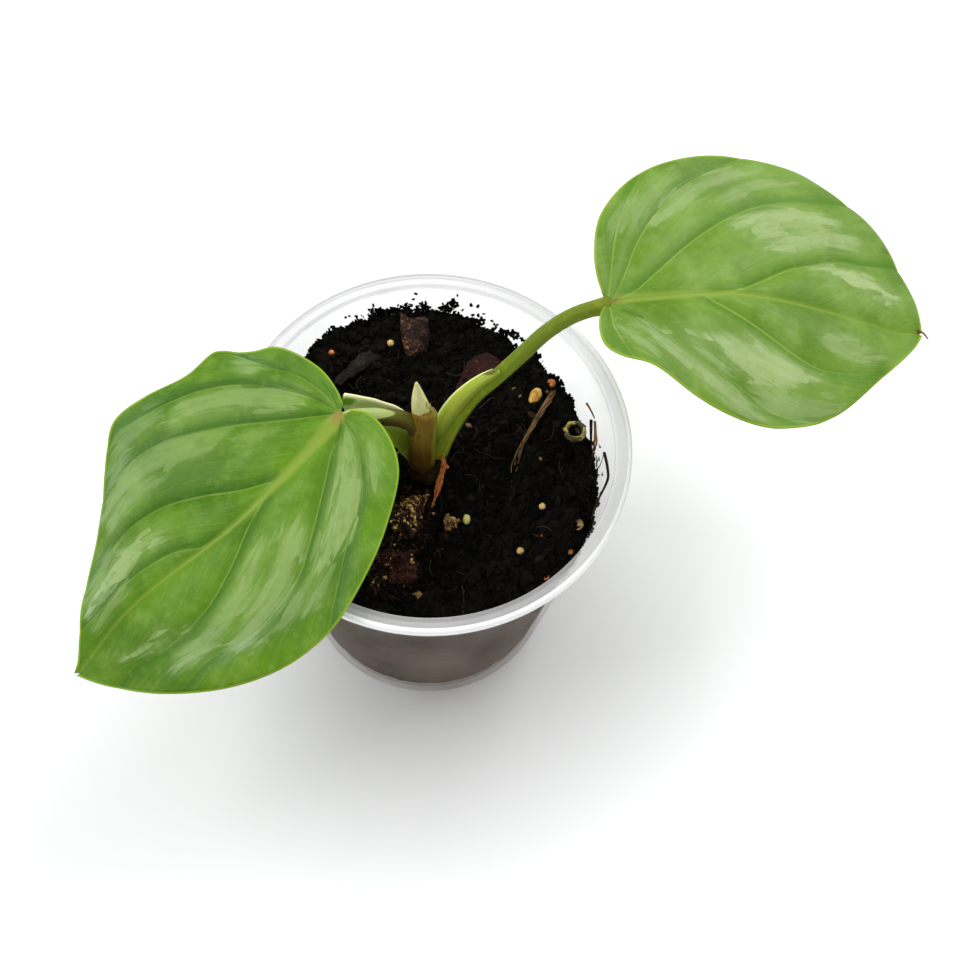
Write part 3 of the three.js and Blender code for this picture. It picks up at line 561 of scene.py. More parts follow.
# %% [markdown]
# ## The blades: from flat to drooping
# The midrib droops and turns a little from the joint to the tip, and half of the right blade is
# folded up. Each main vein is a groove with a swelling between it and the next one, as in a quilt.
# The groove's depth is set by the distance to the nearest vein, which the finish can read as well:
# the same numbers place the light vein lines, the margin and the silver marks.

# %% Where the blade bends
AXIS_SPAN, AXIS_STEPS = (-0.2, 1.1), 521


def blade_axes(blade, s):
    """Centre of the blade, and its directions along, sideways and up, at distances along it."""
    fine = np.linspace(*AXIS_SPAN, AXIS_STEPS) * blade["length"]

    def directions(x):
        q = x / blade["length"]
        heading, pitch = (np.radians(at_joint + (at_tip - at_joint) * q)
                          for at_joint, at_tip in (blade["heading"], blade["pitch"]))
        along = np.stack([np.cos(heading) * np.cos(pitch), np.sin(heading) * np.cos(pitch),
                          np.sin(pitch)], -1)
        sideways = np.stack([-np.sin(heading), np.cos(heading), 0 * q], -1)
        return along, sideways, np.cross(along, sideways)

    middle = directions((fine[1:] + fine[:-1]) / 2)[0] * (fine[1] - fine[0])
    centres = np.vstack([[0, 0, 0], np.cumsum(middle, axis=0)])
    here = np.stack([np.interp(s, fine, centres[:, i]) for i in range(3)], -1)
    zero = np.array([np.interp(0, fine, centres[:, i]) for i in range(3)])
    return (here - zero + np.array(blade["joint"]), *directions(s))


for blade in (LEFT_BLADE, RIGHT_BLADE):
    print("a tip at", blade_axes(blade, np.array([blade["length"]]))[0][0].round(1), "mm")


# %% How far it is to a line or to a silver stroke
BATCH = 4000


def least_distance(points, line):
    """For each point, the distance to the nearest of the line's points, and which one it is."""
    near, which = np.full(len(points), 1e9), np.zeros(len(points), int)
    for i in range(0, len(points), BATCH):
        gap = np.linalg.norm(points[i:i + BATCH, None] - line[None], axis=2)
        which[i:i + BATCH] = gap.argmin(1)
        near[i:i + BATCH] = gap.min(1)
    return near, which


def stroke_field(half, rows, flow):
    """For each point of the rows: how far it is outside the nearest silver stroke to the side and
    beyond its end, in millimetres, and the stroke's strength."""
    t = np.linspace(0, 1, ROW_STEPS + 1)
    reach = np.linalg.norm(np.diff(rows, axis=1), axis=2).sum(1)[:, None]
    side, end, strength = (np.full(rows.shape[:2], v) for v in (9.0, 9.0, 0.0))
    for width, power, points in half["strokes"]:
        times, flows = zip(*sorted((time, place) for place, time in points))
        at = np.interp(np.interp(t, times, flows), flow, np.arange(len(flow)))
        low = np.clip(np.floor(at).astype(int), 0, len(flow) - 2)
        part, columns = (at - low)[:, None], np.arange(len(t))
        middle = rows[low, columns] * (1 - part) + rows[low + 1, columns] * part
        within = (t >= times[0] - 0.02) & (t <= times[-1] + 0.02)
        apart, which = least_distance(rows.reshape(-1, 2), middle[within])
        taper = 0.65 + 0.35 * np.sin(np.pi * which / max(within.sum() - 1, 1)) ** 0.5
        aside = (apart - width * taper).reshape(side.shape)
        beyond = np.maximum(times[0] - t, t - times[-1])[None] * reach
        closer = np.maximum(aside, beyond) < np.maximum(side, end)
        side, end = np.where(closer, aside, side), np.where(closer, beyond, end)
        strength = np.where(closer, power, strength)
    return np.clip(side, -3, 9).ravel(), np.clip(end, -9, 9).ravel(), strength.ravel()


print("from (0, 0) to (3, 4) it is", least_distance(np.zeros((1, 2)), np.array([[3, 4]]))[0][0])


# %% The middle surface, grooved and swollen
QUILT = 1.2
VEIN_REACH = 2.3
MIDRIB_GROOVE = 0.9
EDGE_WAVE, EDGE_WAVES = 0.7, 17
CUPPING = 0.004
LINE_POINTS = 400


def blade_middle(blade):
    """The blade's middle surface: points, faces and marks."""
    stations = midrib_stations(blade)
    fold_start, fold_end = blade["fold"]
    points, faces, marks = [], [], {}
    for half in blade["halves"]:
        side = half["side"]
        rows, flow, share, guides, margin = half_rows(blade, half, stations)
        s, y = rows[..., 0], rows[..., 1]
        flat = rows.reshape(-1, 2)
        t = np.broadcast_to(np.linspace(0, 1, ROW_STEPS + 1), s.shape)
        veins = [(least_distance(flat, curve_through(g["line"], LINE_POINTS))[0], v["depth"])
                 for g, v in zip(guides[1:], half["veins"])]
        midrib = curve_through(blade["midrib"], LINE_POINTS) * (1, side)
        to_midrib = least_distance(flat, midrib)[0]
        deepest = np.max([d * np.exp(-reach / VEIN_REACH) for reach, d in veins], axis=0)
        dip = deepest * smooth(to_midrib / 1.6)
        dip = np.maximum(dip, MIDRIB_GROOVE * np.exp(-to_midrib / VEIN_REACH)).reshape(s.shape)
        to_vein = np.min([reach for reach, d in veins if d > 0.2], axis=0)
        to_margin = least_distance(flat, margin)[0]
        swell = QUILT * (0.35 - dip) * (1 - 0.6 * smooth((t - 0.55) / 0.45))
        wave = EDGE_WAVE * np.sin(EDGE_WAVES * share[:, None] + side) * t ** 4
        wave = wave * smooth((1 - share[:, None]) * 6)
        signed = side * y
        bent_up = fold_start + (fold_end - fold_start) * smooth(2 * s / blade["length"])
        fold = np.radians(np.where(signed < 0, bent_up, 0))
        centre, along, sideways, up = blade_axes(blade, s)
        height = np.sin(fold) * np.abs(y) - CUPPING * y ** 2 + swell + wave
        place = centre + sideways * (signed * np.cos(fold))[..., None] + up * height[..., None]
        first = sum(len(p) for p in points)
        faces += [face[::side] for face in grid_faces(*s.shape, first=first)]
        points.append(place.reshape(-1, 3))
        beside, beyond, strength = stroke_field(half, rows, flow)
        half_width = np.interp(s, RIB_STATIONS, blade["rib"]).ravel()
        flow_at = np.stack([np.broadcast_to(flow[:, None], s.shape), t, np.full(s.shape, side)], -1)
        new = dict(vein_mm=to_vein, midrib_mm=to_midrib - half_width, margin_mm=to_margin,
                   silver_side=beside, silver_end=beyond, silver_and_sheen=strength,
                   joint_mm=np.linalg.norm(flat, axis=1), out=t.ravel(), flow=flow_at.reshape(-1, 3))
        for key, value in new.items():
            marks.setdefault(key, []).append(value)
    return np.vstack(points), faces, {key: np.concatenate(value) for key, value in marks.items()}


print("a groove is half as deep", round(VEIN_REACH * math.log(2), 1), "mm from its vein")


# %% Even normals
NORMAL_ROUNDS = 3


def point_normals(points, faces):
    """The direction away from the surface at each point, evened out over its neighbours."""
    normal = np.zeros_like(points)
    for face in faces:
        ring = points[face]
        way = np.cross(ring[2] - ring[0], ring[3 % len(ring)] - ring[1])
        if len(face) == 3:
            way = np.cross(ring[1] - ring[0], ring[2] - ring[0])
        for v in face:
            normal[v] += way
    for _ in range(NORMAL_ROUNDS):
        normal /= np.maximum(np.linalg.norm(normal, axis=1), 1e-12)[:, None]
        around = normal.copy()
        for face in faces:
            around[face] += normal[face].mean(0)
        normal = around
    return normal / np.maximum(np.linalg.norm(normal, axis=1), 1e-12)[:, None]


print("blade shapes ready")

# %% Give a blade its thickness
BLADE_THICKNESS = 0.5
RIB_ABOVE, RIB_BELOW, VEIN_BELOW = 0.12, 0.7, 0.22


def blade_piece(name, blade, top_finish, under_finish):
    """A closed sheet round the middle surface, with the midrib and veins standing out below."""
    points, faces, marks = blade_middle(blade)
    first, faces = merge_corners(points, faces, 1e-3)
    points, marks = points[first], {key: value[first] for key, value in marks.items()}
    normal = point_normals(points, faces)
    if normal[:, 2].sum() < 0:
        normal = -normal
        faces = [face[::-1] for face in faces]
    edges = {}
    for face in faces:
        for a, b in zip(face, face[1:] + face[:1]):
            edges[(a, b)] = edges.get((a, b), 0) + 1
    rim = [(a, b) for a, b in edges if (b, a) not in edges]
    thin = 0.45 + 0.55 * smooth(marks["margin_mm"] / 2.5)
    rib = np.exp(-(np.maximum(marks["midrib_mm"] + 0.6, 0) / 0.5) ** 2)
    rib = rib * (1 - 0.75 * marks["joint_mm"] / blade["length"])
    ridge = VEIN_BELOW * np.exp(-(marks["vein_mm"] / 0.45) ** 2) * (1 - marks["out"])
    upper = points + normal * (BLADE_THICKNESS / 2 * thin + RIB_ABOVE * rib)[:, None]
    rib_below = RIB_BELOW * rib * (1 - marks["out"])
    lower = points - normal * (BLADE_THICKNESS / 2 * thin + rib_below + ridge)[:, None]
    count = len(points)
    closed = faces + [[v + count for v in face[::-1]] for face in faces]
    closed += [[b, a, a + count, b + count] for a, b in rim]
    both = {key: np.concatenate([value, value]) for key, value in marks.items()}
    both["below"] = np.repeat([0.0, 1.0], count)
    made = piece(name.replace("leaf", "blade"), np.vstack([upper, lower]), closed, top_finish, both)
    made.data.materials.append(under_finish.material)
    below = np.zeros(len(made.data.vertices), np.float32)
    made.data.attributes["below"].data.foreach_get("value", below)
    under = [int(min(below[v] for v in face.vertices)) for face in made.data.polygons]
    made.data.polygons.foreach_set("material_index", under)
    settle(made, "leaf", name)


print("blades can be made")

# %% [markdown]
# ## The blades: their finish
# The upper side is satin green with fine ribs that run with the veins. The silver marks are air
# under the leaf's skin, so they are pale and a little duller, with ragged ends, like strokes of a
# dry brush. Noise that is stretched along the rows gives both. The underside is paler and matt.
# Light is painted on the upper side as well: painted shade beside the veins, pale clouds of
# painted sheen, and silver that turns bluish white towards the margin, a painted sheen.

# %% Where a leaf is silver
def silver_mask(f, flow, marks, weave):
    """The silver's share: strokes whose sides and ends are broken up in cells along the rows."""
    streaks = f.noise(1, 2, 0.6, f.stretch(flow, (12, 1.6, 7)))
    blocks = f.patches(f.stretch(flow, (7, 10, 3)))
    slits = f.patches(f.stretch(flow, (20, 6, 3)))
    side = f.shifted(marks["silver_side"], blocks[0], 1.7)
    side = f.shifted(side, slits[0], 0.6)
    end = f.shifted(marks["silver_end"], blocks[1], 5)
    end = f.shifted(end, slits[1], 2.6)
    end = f.shifted(end, streaks, 3)
    mask = f.sums("MULTIPLY", f.step(side, 1.1, -1.1), f.step(end, 2, -2))
    halo = f.sums("MULTIPLY", f.step(marks["silver_side"], 3, -1.5, 0, 0.25),
                  f.step(marks["silver_end"], 4, -2))
    mask = f.sums("MAXIMUM", mask, halo)
    broken = f.sums("MULTIPLY", f.sums("ADD", slits[2], blocks[2]), 0.2)
    broken = f.sums("MULTIPLY_ADD", weave, 0.9, broken)
    mask = f.sums("MULTIPLY", mask, f.step(broken, 0.5, 1, 1, 0.6))
    return f.sums("MULTIPLY", mask, marks["silver_and_sheen"])


print("silver strokes:", [len(h["strokes"]) for h in LEFT_BLADE["halves"] + RIGHT_BLADE["halves"]])


# %% Leaf finishes
def leaf_finish(name, under=False):
    left = name.startswith("left")
    f = Finish(name, roughness=0.5 if under else 0.42, specular=0.15)
    flow = f.attribute("flow")["Vector"]
    keys = ("vein_mm", "midrib_mm", "margin_mm", "silver_side", "silver_end", "silver_and_sheen", "joint_mm", "out")
    marks = {key: f.attribute(key)["Fac"] for key in keys}
    clear = f.step(marks["midrib_mm"], 0.1, 1.2)
    ribs = f.blend(clear, (0.5, 0.5, 0.5, 1), f.noise(1, 3, 0.6, f.stretch(flow, (17, 2.2, 9))))
    hairs = f.blend(clear, (0.5, 0.5, 0.5, 1), f.noise(1, 2, 0.5, f.stretch(flow, (46, 3.5, 5))))
    clouds = f.noise(85, 3, 0.55)
    weave = f.noise(700, 3, 0.6)
    if under:
        tint = f.over((112, 138, 70), (130, 153, 86), clouds, 0.35, 0.65)
        tint = f.over(tint, (100, 128, 62), ribs, 0.35, 0.65, 0.3)
    else:
        deep, pale = ((66, 106, 8), (88, 128, 18)) if left else ((84, 118, 28), (106, 140, 48))
        tint = f.over(deep, pale, clouds, 0.35, 0.65)
        tint = f.over(tint, (124, 154, 66), ribs, 0.45, 0.75, 0.2)
        tint = f.over(tint, (62, 100, 14), hairs, 0.5, 0.7, 0.2)
        # painted sheen: pale clouds stand for the soft sheen of the sky on the leaf, paler still on the
        # right leaf
        painted_sheen = (122, 152, 66) if left else (136, 162, 92)
        tint = f.over(tint, painted_sheen, f.noise(150, 4, 0.65), 0.45, 0.7, 0.35)
        # painted shade: the green darkens beside each vein, on the side of its groove that faces away
        # from the light
        beside_vein = f.sums("FRACT", f.parts(flow)[0])
        painted_vein_shade = f.sums("MULTIPLY", f.step(marks["vein_mm"], 0.3, 2.6, 1, 0),
                       f.step(beside_vein, 0.35, 0.75, 0.25, 0.8))
        tint = f.blend(painted_vein_shade, tint, (50, 94, 4) if left else (74, 116, 22))
        mask = silver_mask(f, flow, marks, weave)
        # painted sheen: the left leaf's silver turns bluish white towards the margin, and the strongest
        # strokes stand for sheen as well as silver
        silver_and_sheen = f.over((146, 168, 104), (160, 180, 136), marks["out"], 0.5, 0.95)
        tint = f.blend(mask, tint, silver_and_sheen if left else (158, 175, 122))
        tint = f.over(tint, (150, 176, 96), weave, 0.5, 0.75, 0.12)
    line = f.sums("MULTIPLY", f.step(marks["vein_mm"], 0.28, 0.08),
                  f.step(marks["out"], 0.3, 1, 0.3 if left else 0.5, 0.06))
    tint = f.blend(line, tint, (140, 166, 56))
    rib_tint = f.over((120, 144, 46), (132, 152, 60), hairs, 0.4, 0.6)
    spot = (146, 124, 62) if left else (124, 118, 52)
    rib_tint = f.over(rib_tint, spot, marks["joint_mm"], 3.4, 0.5)
    tint = f.over(tint, rib_tint, marks["midrib_mm"], 0.6, -0.45, 0.8)
    tint = f.over(tint, (136, 166, 36), marks["margin_mm"], 0.42, 0.18, 0.8)
    f.set("Base Color", tint)
    f.set("Roughness", f.step(ribs, 0.3, 0.7, 0.38, 0.52) if not under else 0.6)
    f.bump((ribs, 0.2, 0.0005), (hairs, 0.15, 0.0003), (weave, 0.3, 0.0002))
    return f


for side, blade in (("left", LEFT_BLADE), ("right", RIGHT_BLADE)):
    upper_side = leaf_finish(side + " leaf, upper side")
    blade_piece("leaf_" + side, blade, upper_side, leaf_finish(side + " leaf, underside", True))

# %% [markdown]
# ## Geometry Nodes, by short calls
# Crumbs of soil, hair roots and flecks on the pot's wall are each one small shape repeated many
# times over a surface. A tree of nodes scatters them, and its sizes are named inputs, so that the
# same tree makes coarse and fine crumbs. The result is turned into a plain mesh.

# %% Node trees
class Growth:
    """A Geometry Nodes tree that grows by short calls. Each call gives back the node it adds."""

    def __init__(self, name, **inputs):
        self.tree = bpy.data.node_groups.new(name, "GeometryNodeTree")
        sockets = self.tree.interface.new_socket
        sockets("Geometry", in_out="INPUT", socket_type="NodeSocketGeometry")
        sockets("Geometry", in_out="OUTPUT", socket_type="NodeSocketGeometry")
        self.names = {}
        for label, value in inputs.items():
            kind = "NodeSocketInt" if isinstance(value, int) else "NodeSocketFloat"
            socket = sockets(label, in_out="INPUT", socket_type=kind)
            socket.default_value = value
            self.names[label] = socket.identifier
        self.start = self.tree.nodes.new("NodeGroupInput")
        self.end = self.tree.nodes.new("NodeGroupOutput")

    def input(self, label):
        return self.start.outputs[label]

    def add(self, kind, values=None, **settings):
        node = self.tree.nodes.new(kind)
        for key, value in settings.items():
            setattr(node, key, value)
        for key, value in (values or {}).items():
            self.put(node.inputs[key], value)
        return node

    def put(self, socket, value):
        if isinstance(value, bpy.types.NodeSocket):
            self.tree.links.new(value, socket)
        else:
            socket.default_value = value

    def sums(self, kind, a, b=0.0):
        return self.add("ShaderNodeMath", {0: a, 1: b}, operation=kind).outputs[0]

    def random(self, low, high, seed, kind="FLOAT"):
        node = self.add("FunctionNodeRandomValue", data_type=kind)
        order = {"FLOAT_VECTOR": (0, 1), "FLOAT": (2, 3)}[kind]
        self.put(node.inputs[order[0]], low)
        self.put(node.inputs[order[1]], high)
        self.put(node.inputs["Seed"], seed)
        return node.outputs[0 if kind == "FLOAT_VECTOR" else 1]

    def scatter(self, mark):
        """Points on the surface, as dense as the input says times the attribute of that name."""
        share = self.add("GeometryNodeInputNamedAttribute", {"Name": mark}, data_type="FLOAT")
        density = self.sums("MULTIPLY", self.input("Density"), share.outputs[0])
        where = {"Mesh": self.input("Geometry"), "Density": density, "Seed": self.input("Seed")}
        return self.add("GeometryNodeDistributePointsOnFaces", where).outputs[0]

    def tone(self, instances, seed):
        """Gives each instance a random number of its own, for the finish to read."""
        values = {0: instances, "Name": "tone", "Value": self.random(0.0, 1.0, seed)}
        store = "GeometryNodeStoreNamedAttribute"
        return self.add(store, values, data_type="FLOAT", domain="INSTANCE").outputs[0]

    def jitter(self, scale):
        """A noise's colour less its middle: a random way for each point."""
        wobble = self.add("ShaderNodeTexNoise", {"Scale": scale}).outputs["Color"]
        values = {0: wobble, 1: (0.5, 0.5, 0.5)}
        return self.add("ShaderNodeVectorMath", values, operation="SUBTRACT").outputs[0]

    def finish(self, geometry, finish):
        realized = self.add("GeometryNodeRealizeInstances", {0: geometry}).outputs[0]
        painted = self.add("GeometryNodeSetMaterial", {"Geometry": realized, "Material": finish.material})
        self.put(self.end.inputs[0], painted.outputs[0])


def grown(name, surface, growth, flat=False, **values):
    """The plain mesh that a tree grows on a surface. The surface's own object goes."""
    modifier = surface.modifiers.new("growth", "NODES")
    modifier.node_group = growth.tree
    for label, value in values.items():
        modifier[growth.names[label]] = value
    surface.update_tag()
    bpy.context.view_layer.update()
    evaluated = surface.evaluated_get(bpy.context.evaluated_depsgraph_get())
    mesh = bpy.data.meshes.new_from_object(evaluated)
    mesh.name = name
    finish = mesh.materials[mesh.polygons[0].material_index]
    mesh.materials.clear()
    mesh.materials.append(finish)
    mesh.polygons.foreach_set("material_index", [0] * len(mesh.polygons))
    mesh.polygons.foreach_set("use_smooth", [not flat] * len(mesh.polygons))
    bpy.data.objects.remove(surface)
    return in_scene(name, mesh)


print("growth ready")

# %% [markdown]
# ## The pot
# The pot is thin, milky plastic that was formed over a mould, so it is one profile turned round an
# axis, with six drain holes. A tree of nodes makes it: the profile is swept round a circle, and one
# cylinder, repeated on a smaller circle, cuts the holes. Only the profile is listed point by point.

# %% The pot's profile
POT_HEIGHT, POT_FLOOR, POT_WALL = 60, 1, 0.9
INNER_FOOT, INNER_LIP = 22.5, 32


def inner_radius(z):
    """The wall's inner radius at a height, all in millimetres."""
    return INNER_FOOT + (INNER_LIP - INNER_FOOT) * (z - POT_FLOOR) / (POT_HEIGHT - POT_FLOOR)


def rounded(corners, steps=4):
    """A closed outline whose corners (x, z, radius) are rounded with short arcs."""
    outline = []
    for n, (x, z, radius) in enumerate(corners):
        corner = Vector((x, z))
        if not radius:
            outline.append(corner)
            continue
        before = (Vector(corners[n - 1][:2]) - corner).normalized()
        after = (Vector(corners[(n + 1) % len(corners)][:2]) - corner).normalized()
        reach = radius / math.tan(before.angle(after) / 2)
        a, b = corner + before * reach, corner + after * reach
        outline += [a.lerp(corner, t).lerp(corner.lerp(b, t), t)
                    for t in (i / steps for i in range(steps + 1))]
    return outline


wall_bottom = inner_radius(1.8)
corners = [
    (0, 0, 0), (15, 0, 0), (23.2, 0, 0.7), (inner_radius(30) + POT_WALL, 30, 0),
    (inner_radius(58.8) + POT_WALL, 58.8, 0.25), (34.2, 58.8, 0.15), (34.2, 58.2, 0.2),
    (35, 58.2, 0.3), (35, POT_HEIGHT, 0.45), (34.1, POT_HEIGHT, 0.3), (34, 59.75, 0.2),
    (32.2, 59.75, 0.5), (inner_radius(45), 45, 0), (inner_radius(30), 30, 0),
    (inner_radius(15), 15, 0), (wall_bottom - 0.1, POT_FLOOR, 0.6), (15, POT_FLOOR, 0),
    (0, POT_FLOOR, 0)]
outline = rounded(corners)
print(len(outline), "points round the profile")

# %% Turn the profile and cut the drain holes
turned = Growth("turned pot", Turns=180, HoleRadius=1.8 * MM, HoleCircle=15 * MM, Holes=6)
path = turned.add("GeometryNodeCurvePrimitiveCircle",
                  {"Resolution": turned.input("Turns"), "Radius": 1.0}, mode="RADIUS")
line = turned.add("GeometryNodeMeshToCurve", {0: turned.input("Geometry")})
swept = turned.add("GeometryNodeCurveToMesh", {0: path.outputs[0], 1: line.outputs[0]})
welded = turned.add("GeometryNodeMergeByDistance", {0: swept.outputs[0], "Distance": 1e-5})
ring = turned.add("GeometryNodeMeshCircle",
                  {"Vertices": turned.input("Holes"), "Radius": turned.input("HoleCircle")})
drill = turned.add("GeometryNodeMeshCylinder",
                   {"Vertices": 28, "Radius": turned.input("HoleRadius"), "Depth": 0.01})
drills = turned.add("GeometryNodeInstanceOnPoints", {0: ring.outputs[0], "Instance": drill.outputs[0]})
eased = turned.add("GeometryNodeTransform", {0: drills.outputs[0], "Rotation": (0, 0, math.radians(30))})
plastic = Finish("milky pot plastic", roughness=0.28, specular=0.35)
cut = turned.add("GeometryNodeMeshBoolean", {0: welded.outputs[0], 1: eased.outputs[0]},
                 operation="DIFFERENCE")
turned.finish(cut.outputs[0], plastic)
profile_mesh = bpy.data.meshes.new("pot profile")
loop = [(i, (i + 1) % len(outline)) for i in range(len(outline))]
SWEEP_RADIUS = 1
profile_mesh.from_pydata([(p.x * MM - SWEEP_RADIUS, -p.y * MM, 0) for p in outline], loop, [])
pot = grown("pot_clear", in_scene("pot profile", profile_mesh), turned)
print("pot", [round(v / MM, 2) for v in pot.dimensions], "mm,", len(pot.data.polygons), "faces")

# %% [markdown]
# ## The plastic
# Milky plastic hides what is far behind it and shows what touches it. It is cheaper to make it
# partly see-through than to trace light inside it, and the same material still works in other
# programs. Thick places, such as the lip's edge, are more opaque. Fine scratches break the gloss.

# %% Plastic finish
LIP_BAND = (0.0582, 0.059)
EDGE_BAND = (0.0341, 0.0344)
scratches = plastic.noise(1, 4, 0.7, plastic.stretch(plastic.place, (260, 260, 1400)))
haze = plastic.noise(60, 3, 0.5)
height = plastic.parts(plastic.place)[2]
edge = plastic.add("LayerWeight")
edge.inputs["Blend"].default_value = 0.3
veil = plastic.sums("MULTIPLY_ADD", edge.outputs["Facing"], 0.1, plastic.step(haze, 0.3, 0.7, 0.06, 0.15))
veil = plastic.sums("ADD", veil, plastic.step(height, *LIP_BAND, 0, 0.3))
across, back, _ = plastic.parts(plastic.place)
squares = [plastic.sums("MULTIPLY", way, way) for way in (across, back)]
reach = plastic.sums("SQRT", plastic.sums("ADD", *squares))
veil = plastic.sums("ADD", veil, plastic.step(reach, *EDGE_BAND, 0, 0.5))
plastic.set("Alpha", veil)
tint = plastic.blend(haze, (0.42, 0.42, 0.43, 1), (0.5, 0.5, 0.5, 1))
# below the soil's height the wall is tinted warm brown: a soil stain, and a painted warm reflection
stain_and_reflection_noise = plastic.noise(1, 4, 0.6, plastic.stretch(plastic.place, (140, 140, 34)))
stain_and_warm_reflection = plastic.over((0.29, 0.17, 0.12, 1), (0.42, 0.3, 0.23, 1), stain_and_reflection_noise, 0.35, 0.65)
tint = plastic.over(tint, stain_and_warm_reflection, height, 0.05, 0.042)
tint = plastic.over(tint, (0.66, 0.65, 0.65, 1), height, *LIP_BAND)
# the lip's outer edge is painted near white: its thicker plastic, and a painted highlight along its
# rounded bead
plastic.set("Base Color", plastic.over(tint, (0.95, 0.95, 0.95, 1), reach, *EDGE_BAND))
plastic.set("Roughness", plastic.step(scratches, 0.3, 0.75, 0.2, 0.34))
plastic.bump((scratches, 0.04, 0.0002))
settle(pot, "pot", "pot")

# %% [markdown]
# ## The soil
# Potting mix is a heap of crumbs, fibres and bits of bark. Its surface is one fine mesh that rises
# towards the back and drops at the right, with rougher and rougher noise on top; loose crumbs and
# hair roots are then scattered over it. Seen through the wall it is a plain dark plug.

# %% The plug of soil
SOIL_LEVEL, SOIL_FOOT = 50, 1.2
LUMPS = ((0.75, 0.4, 0.55), (0.5, 1.3, 1.1), (0.3, 2.2, 2))


def soil_height(x, y):
    """The height of the soil's surface: it rises at the back, drops at the right and is lumpy."""
    radius, angle = math.hypot(x, y), math.degrees(math.atan2(y, x))

    def facing(heading):
        return max(0, math.cos(math.radians(angle - heading)))

    rise = 3.4 * facing(125) ** 1.5 * smooth((radius - 14) / 16)
    drop = 6 * facing(8) ** 2 * smooth((radius - 26.5) / 4.5)
    lumps = 0
    for height, turn, pace in LUMPS:
        along, across = x * math.cos(turn) + y * math.sin(turn), y * math.cos(turn) - x * math.sin(turn)
        lumps += height * math.sin(pace * along + turn) * math.sin(0.9 * pace * across + 2 * turn)
    return SOIL_LEVEL + rise - drop + lumps * smooth((radius - 3.1) / 5)


def roughened(x, y, z):
    """Extra height of the soil's crumbs, in millimetres."""
    spot = Vector((x, y, z))
    coarse = noise.fractal(spot / 5.5, 0.8, 2.1, 3)
    fine = noise.ridged_multi_fractal(spot / 2.6, 0.9, 2.2, 3, 0.9, 1.6) - 1.1
    return 0.85 * coarse + 0.38 * fine


print("soil at the middle:", round(float(soil_height(0, 0)), 1), "mm high")


# %% Build the plug
SOIL_RINGS, WALL_RINGS, SOIL_SIDES, SOIL_GAP = 84, 26, 264, 0.12
points, top = [], []
for i in range(SOIL_RINGS + 1):
    for k in range(SOIL_SIDES):
        angle = 2 * math.pi * k / SOIL_SIDES
        radius = (i / SOIL_RINGS) * (inner_radius(SOIL_LEVEL) - SOIL_GAP)
        x, y = radius * math.cos(angle), radius * math.sin(angle)
        z = soil_height(x, y)
        z += roughened(x, y, z) * min(1, max(0, (radius - 2) / 4))
        if i == SOIL_RINGS:
            reach = inner_radius(z) - SOIL_GAP
            x, y = x * reach / radius, y * reach / radius
        points.append((x, y, z))
        top.append(1)
rim = points[-SOIL_SIDES:]
for i in range(1, WALL_RINGS + 1):
    for k, (x, y, z) in enumerate(rim):
        level = SOIL_FOOT + (z - SOIL_FOOT) * (1 - i / WALL_RINGS)
        dent = 0.3 * abs(noise.noise(Vector((x, y, level)) / 2.2)) * (i < WALL_RINGS)
        radius = inner_radius(level) - SOIL_GAP - dent
        scale = (radius - (0.8 if i == WALL_RINGS else 0)) / math.hypot(x, y)
        points.append((x * scale, y * scale, level))
        top.append(0)
rings = SOIL_RINGS + WALL_RINGS + 1
faces = grid_faces(rings, SOIL_SIDES, closed=True)
points.append((0, 0, SOIL_FOOT))
top.append(0)
last = (rings - 1) * SOIL_SIDES
faces += [(last + k, last + (k + 1) % SOIL_SIDES, len(points) - 1) for k in range(SOIL_SIDES)]
earth = Finish("potting mix", roughness=0.95, specular=0.08)
ROOTED_REACH = 25.5
reach = np.linalg.norm(np.array(points)[:, :2], axis=1)
marks = {"top": np.array(top, float), "inner": np.array(top) * (reach < ROOTED_REACH)}
soil = piece("soil_plug", points, faces, earth, marks)
settle(soil, "soil", "soil")

# %% [markdown]
# ## The soil's finish
# Damp mix is nearly black, with brown fibres and a little grit that catches the light. Two noises
# do it: a wide one for damp and drier places, and a fine one for the grit, which also lifts the
# surface. It stays dull, because wet soil that shines would look like chocolate.

# %% Soil finish
damp = earth.noise(160, 4, 0.6)
grit = earth.noise(900, 3, 0.7)
tint = earth.over((6, 5, 4), (19, 16, 11), damp, 0.38, 0.62)
tint = earth.over(tint, (36, 30, 20), grit, 0.64, 0.76, 0.3)
earth.set("Base Color", tint)
earth.bump((damp, 0.6, 0.0012), (grit, 0.7, 0.0005))
print("soil finish:", len(earth.tree.nodes), "nodes")

# %% [markdown]
# ## Loose crumbs
# A few thousand crumbs lie on the soil. Modelling each is out of the question, and a bump map alone
# stays flat at the edges, so a tree of nodes scatters one knobbly stone of 20 faces, each time with
# its own size, turn and tone. The attribute "top" keeps them off the plug's sides.

# %% Scatter crumbs
crumbs = Growth("crumbs", Density=1.0e6, Seed=3, Small=0.35 * MM, Large=1.3 * MM)
stone = crumbs.add("GeometryNodeMeshIcoSphere", {"Radius": 0.5, "Subdivisions": 1})
knobbly = crumbs.add("GeometryNodeSetPosition", {0: stone.outputs[0], "Offset": crumbs.jitter(2.3)})
sizes = [crumbs.add("ShaderNodeCombineXYZ", {axis: crumbs.input(label) for axis in range(3)}).outputs[0]
         for label in ("Small", "Large")]
stones = {"Instance": knobbly.outputs[0], "Scale": crumbs.random(*sizes, 11, "FLOAT_VECTOR"),
          "Rotation": crumbs.random((0, 0, 0), (6.3, 6.3, 6.3), 12, "FLOAT_VECTOR")}
laid = crumbs.add("GeometryNodeInstanceOnPoints", {0: crumbs.scatter("top"), **stones})
crumb_finish = Finish("crumbs of mix", roughness=0.95, specular=0.08)
crumbs.finish(crumbs.tone(laid.outputs[0], 13), crumb_finish)
print("tree for crumbs:", len(crumbs.tree.nodes), "nodes")

